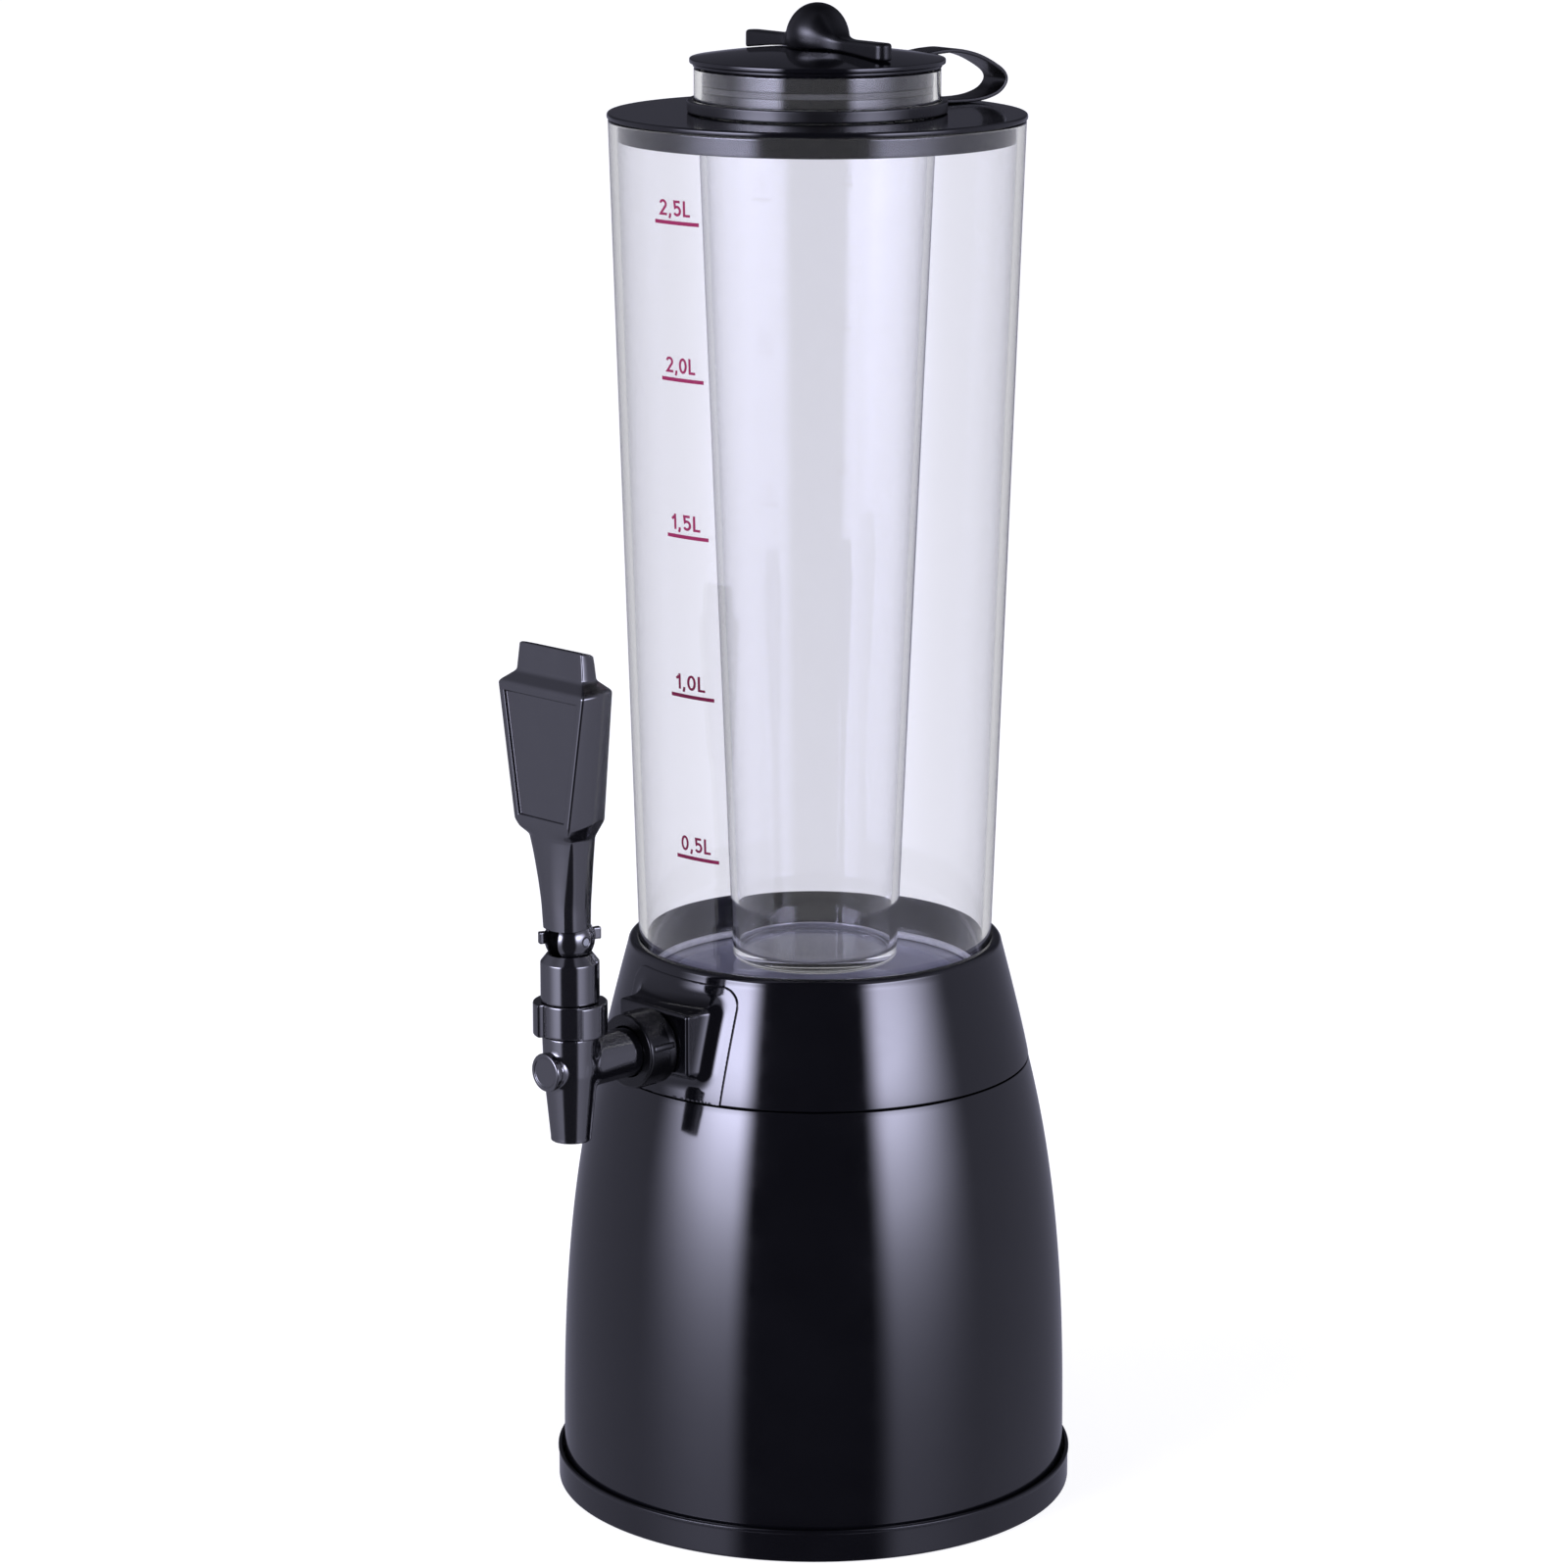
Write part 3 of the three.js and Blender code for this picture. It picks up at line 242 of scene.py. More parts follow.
def turned(profile, sides, closed=True):
    """Shape turned about Z from (radius, height) points. A point on the axis becomes one corner."""
    corners, rings = [], []
    angles = np.arange(sides) * 2 * math.pi / sides
    for radius, height in profile:
        if radius < 1e-6:
            rings.append([len(corners)] * sides)
            corners.append((0, 0, height))
        else:
            rings.append(list(range(len(corners), len(corners) + sides)))
            corners.extend((radius * math.cos(a), radius * math.sin(a), height) for a in angles)
    faces = []
    pairs = list(zip(rings, rings[1:] + rings[:1])) if closed else list(zip(rings, rings[1:]))
    for low, high in pairs:
        for i in range(sides):
            j = (i + 1) % sides
            face = list(dict.fromkeys((low[i], low[j], high[j], high[i])))
            if len(face) > 2:
                faces.append(face)
    return corners, faces


def spun(corners, sides, steps=4):
    """Shape turned about Z from (radius, height, rounding) corners that start and end on the axis."""
    return turned(rounded(corners, False, steps), sides, closed=False)


def hooped(corners, sides):
    """Ring turned about Z from a closed outline of (radius, height, rounding) corners."""
    return turned(rounded(corners), sides)


def rod(radius, low, high, sides):
    """Plain rod on the Z axis."""
    return turned([(0, low), (radius, low), (radius, high), (0, high)], sides, closed=False)


def arc(centre, radius, first, last, count, rise=None):
    """Points of an arc between two turns in degrees, or of an ellipse's if it has another rise."""
    turns = [math.radians(first + (last - first) * k / (count - 1)) for k in range(count)]
    rise = rise or radius
    return [(centre[0] + radius * math.cos(a), centre[1] + rise * math.sin(a)) for a in turns]


def clamped(share):
    return max(0, min(1, share))


def smoothed(share):
    return share * share * (3 - 2 * share)


def lofted(rings, ends=True):
    """Shape through rings of equal count, with a fan at each end."""
    count = len(rings[0])
    corners = [tuple(p) for ring in rings for p in ring]
    faces = []
    for level in range(len(rings) - 1):
        for i in range(count):
            j = (i + 1) % count
            low, high = level * count, (level + 1) * count
            faces.append([low + i, low + j, high + j, high + i])
    if ends:
        for ring, start in ((rings[0], 0), (rings[-1], (len(rings) - 1) * count)):
            centre = len(corners)
            corners.append(tuple(np.mean(np.array(ring, float), axis=0)))
            faces.extend([centre, start + i, start + (i + 1) % count] for i in range(count))
    return corners, faces


def moved(shape, matrix):
    corners, faces = shape
    turned_corners = (np.array(corners, float) @ np.array(matrix.to_3x3()).T) + np.array(matrix.translation)
    return [tuple(p) for p in turned_corners], faces


def joined(*shapes):
    corners, faces = [], []
    for shape in shapes:
        start = len(corners)
        corners.extend(shape[0])
        faces.extend([start + i for i in face] for face in shape[1])
    return corners, faces


def outward(shape, reach=0.0):
    """A shape turned about Z, laid down so that its height runs out along -Y from a reach."""
    return moved(shape, Matrix.Translation((0, -reach, TAP_HEIGHT)) @ LAID_DOWN)


def mesh_of(name, shape):
    """Mesh in metres with its faces pointing out."""
    mesh = bpy.data.meshes.new(name)
    corners = (np.array(shape[0], float) * MM).tolist()
    mesh.from_pydata(corners, [], shape[1])
    work = bmesh.new()
    work.from_mesh(mesh)
    bmesh.ops.remove_doubles(work, verts=work.verts, dist=1e-7)
    bmesh.ops.recalc_face_normals(work, faces=work.faces)
    work.to_mesh(mesh)
    work.free()
    return mesh


def shape_of(mesh):
    corners = np.empty(len(mesh.vertices) * 3)
    mesh.vertices.foreach_get("co", corners)
    return (corners.reshape(-1, 3) / MM).tolist(), [list(face.vertices) for face in mesh.polygons]


def linked(name, data):
    piece = bpy.data.objects.new(name, data)
    bpy.context.collection.objects.link(piece)
    return piece


def evaluated(piece):
    """Mesh of an object after its modifiers."""
    bpy.context.view_layer.update()
    return bpy.data.meshes.new_from_object(piece.evaluated_get(bpy.context.evaluated_depsgraph_get()))


def discard(*objects):
    for thing in objects:
        data = thing.data
        bpy.data.objects.remove(thing)
        bpy.data.meshes.remove(data)


def carved(shape, tools):
    """A shape less other shapes."""
    base, *others = [linked("work", mesh_of("work", part)) for part in (shape, *tools)]
    for other in others:
        modifier = base.modifiers.new("cut", "BOOLEAN")
        modifier.operation = "DIFFERENCE"
        modifier.solver = "EXACT"
        modifier.object = other
    mesh = evaluated(base)
    result = shape_of(mesh)
    discard(base, *others)
    bpy.data.meshes.remove(mesh)
    return result


def moulded(field, low, high, cell):
    """Closed shape on the zero level of a distance field, which is negative inside."""
    axes = [np.arange(a, b + cell, cell) for a, b in zip(low, high)]
    grid = np.meshgrid(*axes, indexing="ij")
    values = field(*grid)
    inside = values < 0
    size = [len(a) - 1 for a in axes]

    def corner(array, offset):
        return array[tuple(slice(o, o + s) for o, s in zip(offset, size))]

    offsets = [(i, j, k) for i in (0, 1) for j in (0, 1) for k in (0, 1)]
    filled = sum(corner(inside, o).astype(int) for o in offsets)
    active = (filled > 0) & (filled < 8)
    number = np.full(size, -1)
    number[active] = np.arange(active.sum())
    total, hits = np.zeros((*size, 3)), np.zeros(size)
    for offset in offsets:
        for axis in range(3):
            if offset[axis]:
                continue
            other = tuple(o + (i == axis) for i, o in enumerate(offset))
            a, b = corner(values, offset), corner(values, other)
            crossing = (a < 0) != (b < 0)
            share = np.where(crossing, a / np.where(crossing, a - b, 1), 0)
            for i in range(3):
                total[..., i] += crossing * (offset[i] + (share if i == axis else 0))
            hits += crossing
    cells = np.argwhere(active)
    points = (total[active] / hits[active][:, None] + cells) * cell + np.array([a[0] for a in axes])
    faces = []
    for axis in range(3):
        u, v = (axis + 1) % 3, (axis + 2) % 3
        near = [slice(1, -1)] * 3
        far = [slice(1, -1)] * 3
        near[axis], far[axis] = slice(0, -1), slice(1, None)
        a, b = inside[tuple(near)], inside[tuple(far)]
        edges = np.argwhere(a != b)
        place = edges.copy()
        place[:, u] += 1
        place[:, v] += 1
        around = []
        for du, dv in ((-1, -1), (0, -1), (0, 0), (-1, 0)):
            spot = place.copy()
            spot[:, u] += du
            spot[:, v] += dv
            around.append(number[tuple(spot.T)])
        quads = np.stack(around, axis=1)
        flip = b[tuple(edges.T)]
        quads[flip] = quads[flip][:, ::-1]
        faces.extend(quads.tolist())
    step = cell * 0.05
    for _ in range(5):
        here = field(*points.T)
        slope = np.stack(
            [(field(*(points + d).T) - field(*(points - d).T)) / (2 * step) for d in np.eye(3) * step], axis=1
        )
        steep = np.maximum((slope**2).sum(axis=1), 0.05)
        points -= np.clip(here / steep, -cell, cell)[:, None] * slope
    return points.tolist(), faces


# Distance fields for the moulded pieces


def in_outline(outline, u, v):
    """Signed distance to a closed outline in a plane."""
    best = np.full(np.shape(u), 1e9)
    sign = np.ones(np.shape(u))
    for (au, av), (bu, bv) in zip(outline, outline[1:] + outline[:1]):
        eu, ev = bu - au, bv - av
        wu, wv = u - au, v - av
        share = np.clip((wu * eu + wv * ev) / (eu * eu + ev * ev), 0, 1)
        best = np.minimum(best, (wu - eu * share) ** 2 + (wv - ev * share) ** 2)
        above = v >= av
        below = v < bv
        left = eu * wv > ev * wu
        sign = np.where((above & below & left) | (~above & ~below & ~left), -sign, sign)
    return np.sqrt(best) * sign


def overlap(edge, *gaps):
    """Signed distance to where fields overlap, which are held back by the rounding of the edge."""
    outside = np.sqrt(sum(np.maximum(g, 0) ** 2 for g in gaps))
    return outside + np.minimum(np.maximum.reduce(gaps), 0) - edge


def in_box(x, y, z, low, high, edge):
    """Signed distance to a box with rounded edges."""
    gaps = [np.abs(c - (a + b) / 2) - (b - a) / 2 + edge for c, a, b in zip((x, y, z), low, high)]
    return overlap(edge, *gaps)


def in_rod(across_a, across_b, along, radius, start, end, edge):
    """Signed distance to a rod with rounded ends."""
    side = np.hypot(across_a, across_b) - radius + edge
    return overlap(edge, side, np.abs(along - (start + end) / 2) - (end - start) / 2 + edge)


def melted(a, b, fillet):
    """Union of two fields with a fillet between them."""
    share = np.maximum(fillet - np.abs(a - b), 0) / fillet
    return np.minimum(a, b) - share * share * fillet / 4


def hollowed(a, b, fillet):
    """First field less the second, with softened edges."""
    return -melted(-a, b, fillet)


# Pieces


def finished(name, shape, finish, body, nodes=(), smooth_angle=38):
    """A piece of the tower, at the origin, on its body and in place of its CAD nodes."""
    mesh = mesh_of(name, shape)
    mesh.materials.append(finishes[finish])
    return on_body(linked(name, mesh), body, nodes, smooth_angle)


def on_body(piece, body, nodes=(), smooth_angle=38):
    mesh = piece.data
    mesh.polygons.foreach_set("use_smooth", [True] * len(mesh.polygons))
    mesh.set_sharp_from_angle(angle=math.radians(smooth_angle))
    if nodes:
        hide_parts(*nodes)
    if body:
        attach(piece, body)
    return piece


def dressed(finish, *nodes):
    """Give CAD nodes that stay a better finish."""
    for node in nodes:
        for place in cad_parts[node].material_slots:
            place.material = finishes[finish]


# Finishes


def add_node(tree, kind, settings=None, inputs=None):
    """Add a node with its settings, and give its inputs values or links."""
    made = tree.nodes.new(kind)
    for name, value in (settings or {}).items():
        setattr(made, name, value)
    for socket, value in (inputs or {}).items():
        if isinstance(value, bpy.types.NodeSocket):
            tree.links.new(value, made.inputs[socket])
        else:
            made.inputs[socket].default_value = value
    return made


def tree_of(name):
    """A new material and its empty tree."""
    material = bpy.data.materials.new(name)
    material.use_nodes = True
    material.node_tree.nodes.clear()
    return material, material.node_tree


def shaded(material, inputs):
    """Give a material its shader, with constant values on the shader's own sockets."""
    shader = add_node(material.node_tree, "ShaderNodeBsdfPrincipled", inputs=inputs).outputs[0]
    add_node(material.node_tree, "ShaderNodeOutputMaterial", inputs={"Surface": shader})
    return material


def speckle(tree, size_mm, detail=2.0, stretch=(1, 1, 1)):
    """Noise whose grains are about a size in millimetres across."""
    place = add_node(tree, "ShaderNodeTexCoord").outputs["Object"]
    spread = add_node(tree, "ShaderNodeMapping", inputs={"Vector": place, "Scale": stretch}).outputs[0]
    inputs = {"Vector": spread, "Scale": 1 / (size_mm * MM), "Detail": detail, "Roughness": 0.55}
    return add_node(tree, "ShaderNodeTexNoise", inputs=inputs).outputs[0]


def ranged(tree, source, low, high, start=0.3, end=0.7):
    """Value that runs from low to high as its source runs from start to end."""
    inputs = {"Value": source, "From Min": start, "From Max": end, "To Min": low, "To Max": high}
    return add_node(tree, "ShaderNodeMapRange", inputs=inputs).outputs[0]


def toned(tree, share, low, high):
    """A colour that runs from one tone to another."""
    inputs = {0: share, 6: (*low, 1), 7: (*high, 1)}
    return add_node(tree, "ShaderNodeMix", {"data_type": "RGBA"}, inputs).outputs[2]


def bumped(tree, height, depth_mm, strength=1.0, **under):
    """Bump with a depth in millimetres, and a Normal under it if there is one."""
    inputs = {"Height": height, "Distance": depth_mm * MM, "Strength": strength, **under}
    return add_node(tree, "ShaderNodeBump", inputs=inputs).outputs[0]


def plastic(name, tone, roughness, ior, wave_mm, wave_depth, grain_mm, grain_depth):
    """Moulded plastic: broad sink waves from cooling, a fine tool grain, and an uneven polish."""
    material, tree = tree_of(name)
    waves = bumped(tree, speckle(tree, wave_mm, 0.5), wave_depth)
    paler = [c * 1.25 + 0.0003 for c in tone]
    inputs = {
        "IOR": ior,
        "Base Color": toned(tree, ranged(tree, speckle(tree, 35), 0, 1), tone, paler),
        "Roughness": ranged(tree, speckle(tree, 9, 3.0), roughness * 0.75, roughness * 1.25),
        "Normal": bumped(tree, speckle(tree, grain_mm), grain_depth, Normal=waves),
    }
    return shaded(material, inputs)


def clear_plastic(name, tone):
    """Clear SAN, extruded and flame polished: bright, with faint upright draw lines from the die."""
    material, tree = tree_of(name)
    inputs = {
        "IOR": 1.49,
        "Transmission Weight": 1.0,
        "Base Color": (*tone, 1),
        "Roughness": ranged(tree, speckle(tree, 12), 0.0, 0.03),
        "Normal": bumped(tree, speckle(tree, 5, 1.0, (1, 1, 0.02)), 0.002, 0.5),
    }
    return shaded(material, inputs)


def scaled(tone, factor):
    """A tone times a factor, at most white."""
    return [min(1, c * factor) for c in tone]


def clouded(name, cloud, tone, other_tone, roughness, constants, bump=None):
    """A surface whose tone and roughness vary with one noise, with a bump if it has one."""
    material, tree = tree_of(name)
    noise = speckle(tree, *cloud)
    inputs = {
        "Base Color": toned(tree, ranged(tree, noise, 0, 1), tone, other_tone),
        "Roughness": ranged(tree, noise, *roughness),
        **constants,
    }
    if bump:
        grain, depth_mm, strength = bump
        inputs["Normal"] = bumped(tree, speckle(tree, *grain), depth_mm, strength)
    return shaded(material, inputs)


finishes = {}


def make_finishes():
    """Make every finish. A plastic has a roughness, an IOR, and the size and depth of its waves and grain."""
    tones = bpy.context.scene.tower_colours
    # ABS from a polished tool: a deep black mirror whose highlights bend a little
    finishes["casing"] = plastic("gloss_moulded_abs", tones.casing, 0.09, 1.53, 42, 0.02, 0.8, 0.0006)
    # Moulded ABS under a hard gloss lacquer: a black that mirrors more strongly than the casing
    finishes["tap"] = plastic("gloss_lacquered_abs", tones.tap, 0.1, 2.25, 14, 0.006, 0.35, 0.0006)
    # The lever's black, moulded and lacquered as the tap is, with softer highlights
    finishes["lever"] = plastic("lacquered_lever_abs", tones.tap, 0.12, 2.2, 18, 0.008, 0.4, 0.0008)
    # ABS, fine satin: nearly pure black with faint highlights
    finishes["handle"] = plastic("satin_moulded_abs", tones.handle, 0.3, 1.38, 10, 0.01, 0.3, 0.0015)
    # Plasticised PVC: a soft black with a dull, slightly greasy shine
    finishes["strap"] = plastic("soft_moulded_pvc", tones.strap, 0.3, 1.53, 6, 0.02, 0.25, 0.004)
    finishes["tank"] = clear_plastic("clear_extruded_san", tones.tank)
    finishes["ice_tube"] = clear_plastic("clear_moulded_san", tones.ice_tube)
    # The union nut, plain moulded acetal: a waxy black with faint highlights
    finishes["nut"] = plastic("moulded_acetal", tones.handle, 0.24, 1.42, 20, 0.006, 0.35, 0.0006)
    # The bowl under the tank, moulded ABS: its pale blue-grey is painted light, a tone that stands in for the
    # light and reflections seen on it through the clear wall
    finishes["bowl"] = plastic("bowl_abs_painted_reflections", tones.bowl, 0.1, 1.53, 30, 0.01, 0.5, 0.0006)
    # Silicone, compression moulded: matt and slightly milky, with a faint bloom
    milky = {"IOR": 1.41, "Subsurface Weight": 0.15, "Subsurface Radius": (0.002, 0.002, 0.002)}
    bloom = scaled(tones.seals, 1.3)
    finishes["seals"] = clouded("moulded_silicone", (3, 3.0), tones.seals, bloom, (0.45, 0.6), milky)
    # EPDM rubber, moulded: dull black with a pebbled grain and a grey bloom in its hollows
    black, bloom, pebble = linear("#151515"), linear("#242424"), (0.9, 3.0)
    finishes["rubber"] = clouded(
        "moulded_epdm_rubber", pebble, black, bloom, (0.75, 0.92), {"IOR": 1.52}, (pebble, 0.12, 0.8)
    )
    # Steel, turned and zinc plated: cool grey metal with fine turning marks and cloudy plating
    grey, turning = linear("#c3c6c9"), ((0.15, 1.0, (1, 1, 6)), 0.01, 0.6)
    finishes["steel"] = clouded(
        "zinc_plated_steel", (1.5, 3.0), grey, scaled(grey, 0.75), (0.22, 0.4), {"Metallic": 1.0}, turning
    )
    # Pad-printed ink, air dried: a thin matt film whose tone varies a little with its thickness
    film = {"IOR": 1.5, "Specular IOR Level": 0.15}
    thin = scaled(tones.marks, 1.2)
    finishes["marks"] = clouded("pad_printed_ink", (0.6,), tones.marks, thin, (0.5, 0.65), film)


# Rules of the tower's shape


def tank_radius(height):
    share = (height - TANK_FOOT) / (TANK_TOP - TANK_FOOT)
    return TANK_FOOT_RADIUS + (TANK_TOP_RADIUS - TANK_FOOT_RADIUS) * share


def upper_radius(height):
    rise = np.maximum(0, (height - SEAM) / (CASING_TOP - RIM_ROUND - SEAM))
    return SEAM_RADIUS - (SEAM_RADIUS - SHOULDER_RADIUS) * rise**SHOULDER_POWER


def dome_height(radius):
    return CAP_RIM_TOP + CAP_DOME_RISE * (1 - (radius / CAP_RIM_RADIUS) ** 2)


# Node trees


def node_tree(name, inputs):
    """An empty geometry tree with labelled inputs of some kinds, and its input and output nodes."""
    tree = bpy.data.node_groups.new(name, "GeometryNodeTree")
    for kind, labels in {"Geometry": ("Geometry",), **inputs}.items():
        for label in labels:
            tree.interface.new_socket(label, in_out="INPUT", socket_type=f"NodeSocket{kind}")
    tree.interface.new_socket("Geometry", in_out="OUTPUT", socket_type="NodeSocketGeometry")
    return tree, add_node(tree, "NodeGroupInput").outputs, add_node(tree, "NodeGroupOutput")


def end_tree(tree, geometry, finish, result):
    """Make what a tree gives real, in one finish."""
    real = add_node(tree, "GeometryNodeRealizeInstances", inputs={0: geometry}).outputs[0]
    made = add_node(tree, "GeometryNodeSetMaterial", inputs={"Geometry": real, "Material": finish})
    tree.links.new(made.outputs[0], result.inputs[0])
    return tree


def from_nodes(name, tree, values, base=None):
    """Run a tree on a base mesh, and return a plain piece."""
    carrier = linked("carrier", base or bpy.data.meshes.new("carrier"))
    modifier = carrier.modifiers.new("tree", "NODES")
    modifier.node_group = tree
    sockets = {s.name: s.identifier for s in tree.interface.items_tree if s.in_out == "INPUT"}
    for label, value in values.items():
        modifier[sockets[label]] = value
    mesh = evaluated(carrier)
    mesh.name = name
    discard(carrier)
    return linked(name, mesh)


def math_node(tree, operation, *terms, clamp=False):
    settings = {"operation": operation, "use_clamp": clamp}
    return add_node(tree, "ShaderNodeMath", settings, dict(enumerate(terms))).outputs[0]


def chain(tree, operation, *terms):
    """A chain of one math operation over numbers and sockets."""
    total = terms[0]
    for term in terms[1:]:
        total = math_node(tree, operation, total, term)
    return total


def arithmetic(tree):
    """How a tree adds, subtracts and multiplies."""
    return [partial(chain, tree, operation) for operation in ("ADD", "SUBTRACT", "MULTIPLY")]


def bell_tree():
    """Skin of the lower casing: its radius falls with a power of the height, and its top edge is round."""
    tree, given, result = node_tree(
        "bell_skin",
        {
            "Int": ("Sides", "Rows"),
            "Float": ("Foot height", "Top height", "Foot radius", "Top radius", "Power", "Edge"),
            "Material": ("Finish",),
        },
    )
    add, subtract, multiply = arithmetic(tree)
    tube = add_node(
        tree,
        "GeometryNodeMeshCylinder",
        {"fill_type": "NONE"},
        {"Vertices": given["Sides"], "Side Segments": given["Rows"], "Radius": 1.0, "Depth": 1.0},
    )
    position = add_node(tree, "GeometryNodeInputPosition").outputs[0]
    spot = add_node(tree, "ShaderNodeSeparateXYZ", inputs={0: position}).outputs
    row = multiply(add(spot[2], 0.5), given["Rows"])
    round_rows = 5.0
    wall_rows = subtract(given["Rows"], round_rows)
    along = math_node(tree, "MINIMUM", math_node(tree, "DIVIDE", row, wall_rows), 1.0)
    round_share = math_node(tree, "DIVIDE", subtract(row, wall_rows), round_rows, clamp=True)
    turn = multiply(round_share, math.pi / 2)
    wall_height = subtract(given["Top height"], given["Edge"], given["Foot height"])
    straight = add(given["Foot height"], multiply(wall_height, along))
    height = add(straight, multiply(given["Edge"], math_node(tree, "SINE", turn)))
    narrowing = subtract(given["Foot radius"], given["Top radius"])
    fall = multiply(math_node(tree, "POWER", along, given["Power"]), narrowing)
    inset = multiply(given["Edge"], subtract(1.0, math_node(tree, "COSINE", turn)))
    radius = subtract(given["Foot radius"], fall, inset)
    spread = {0: multiply(spot[0], radius), 1: multiply(spot[1], radius), 2: height}
    place = add_node(tree, "ShaderNodeCombineXYZ", inputs=spread).outputs[0]
    skin = add_node(tree, "GeometryNodeSetPosition", inputs={"Geometry": tube.outputs[0], "Position": place})
    return end_tree(tree, skin.outputs[0], given["Finish"], result)


def round_tree():
    """Copies of one template at even steps round the Z axis, joined with the base mesh."""
    tree, given, result = node_tree(
        "round_the_axis",
        {
            "Object": ("Template",),
            "Int": ("Count",),
            "Float": ("Radius", "First turn"),
            "Material": ("Finish",),
        },
    )
    add, _, multiply = arithmetic(tree)
    number = add_node(tree, "GeometryNodeInputIndex").outputs[0]
    step = math_node(tree, "DIVIDE", 2 * math.pi, given["Count"])
    turn = add(multiply(number, step), given["First turn"])
    rotation = add_node(tree, "ShaderNodeCombineXYZ", inputs={2: turn}).outputs[0]
    level = add_node(tree, "ShaderNodeCombineXYZ", inputs={0: given["Radius"]}).outputs[0]
    place = add_node(
        tree, "ShaderNodeVectorRotate", {"rotation_type": "Z_AXIS"}, {"Vector": level, "Angle": turn}
    ).outputs[0]
    points = add_node(tree, "GeometryNodePoints", inputs={"Count": given["Count"], "Position": place})
    source = add_node(tree, "GeometryNodeObjectInfo", inputs={"Object": given["Template"]})
    inputs = {"Points": points.outputs[0], "Instance": source.outputs["Geometry"], "Rotation": rotation}
    copies = add_node(tree, "GeometryNodeInstanceOnPoints", inputs=inputs)
    both = add_node(tree, "GeometryNodeJoinGeometry", inputs={0: copies.outputs[0]})
    tree.links.new(given["Geometry"], both.inputs[0])
    return end_tree(tree, both.outputs[0], given["Finish"], result)


def repeated(name, template, base, count, radius, first_turn, finish):
    """A base shape with copies of a template round it, as a plain piece."""
    pattern = linked("template", mesh_of("template", template))
    values = {
        "Template": pattern,
        "Count": count,
        "Radius": radius * MM,
        "First turn": first_turn,
        "Finish": finishes[finish],
    }
    piece = from_nodes(name, round_tree(), values, mesh_of("base", base) if base else None)
    discard(pattern)
    return piece


# Shapes of the pieces


def base_tray_shape(sides):
    corners = [(0, TRAY_UNDER), (MAT_RADIUS + 0.4, TRAY_UNDER, 0.3), (MAT_RADIUS + 0.4, RING_FOOT, 0.3)]
    corners += [(RING_OUTER, RING_FOOT, 0.7), (RING_OUTER, RING_TOP - 1.4, 0.3)]
    corners += [(RING_LIP, RING_TOP - 1.1, 0.25), (RING_LIP, RING_TOP - 0.35, 0.25)]
    corners += [(RING_OUTER - 0.05, RING_TOP, 0.25), (RING_INNER, RING_TOP, 0.3)]
    corners += [(RING_INNER, TRAY_FLOOR, 0.4), (0, TRAY_FLOOR)]
    hole = turned([(0, -2), (4, -2), (4, 3), (2, 3), (2, 6), (0, 6)], 32, closed=False)
    holes = []
    for turn in (math.radians(45 + 90 * i) for i in range(4)):
        place = (SCREW_CIRCLE * math.cos(turn), SCREW_CIRCLE * math.sin(turn), 0)
        holes.append(moved(hole, Matrix.Translation(place)))
    return carved(spun(corners, sides), holes)


def screw_shape():
    """Pan-head screw with a cross recess, head down."""
    corners = [(0, 0.9), (3.6, 0.9, 1.0), (3.6, 2.7, 0.2), (1.6, 2.7, 0.2), (1.6, 14.1, 0.2), (0, 15.7)]
    arms = []
    for a, b in ((1.9, 0.45), (0.45, 1.9)):
        ring = [(-a, -b), (a, -b), (a, b), (-a, b)]
        arms.append(lofted([[(x, y, 0) for x, y in ring], [(x * 0.4, y * 0.6, 2.2) for x, y in ring]]))
    return carved(spun(corners, 32), arms)


def upper_casing_shape(sides, seam_edge):
    """Collar shell, with the block on its pad and the spigot."""
    foot = SEAM + SEAM_GAP / 2
    wall = [(upper_radius(z), z) for z in np.linspace(foot + seam_edge + 0.4, CASING_TOP - RIM_ROUND, 24)]
    rim = arc((SHOULDER_RADIUS - RIM_ROUND, CASING_TOP - RIM_ROUND), RIM_ROUND, 0, 90, 9)[1:]
    corners = [(SHOULDER_RADIUS - RIM_ROUND, CASING_TOP), (COLLAR_BORE, CASING_TOP, 0.3)]
    corners += [(COLLAR_BORE, LEDGE_TOP, 0.3), (LEDGE_RADIUS, LEDGE_TOP, 0.3)]
    corners += [(LEDGE_RADIUS, LEDGE_UNDER, 0.3), (upper_radius(173) - CASING_WALL, 173, 1)]
    corners += [(upper_radius(foot) - CASING_WALL, foot, 0.3), (upper_radius(foot), foot, seam_edge), wall[0]]
    shell = turned(wall + rim + rounded(corners, closed=False)[1:-1], sides)
    block = moulded(block_field, (-27, -78.4, 151), (27, -55, 196.5), MOULD_CELL)
    hole = outward(rod(SHANK_BORE, -50, 90, 48))
    spigot = outward(hooped([(SHANK_BORE, 70), (10.3, 70), (10.3, 83.6, 0.4), (SHANK_BORE, 83.6, 0.3)], 64))
    return joined(shell, carved(block, [hole]), spigot)


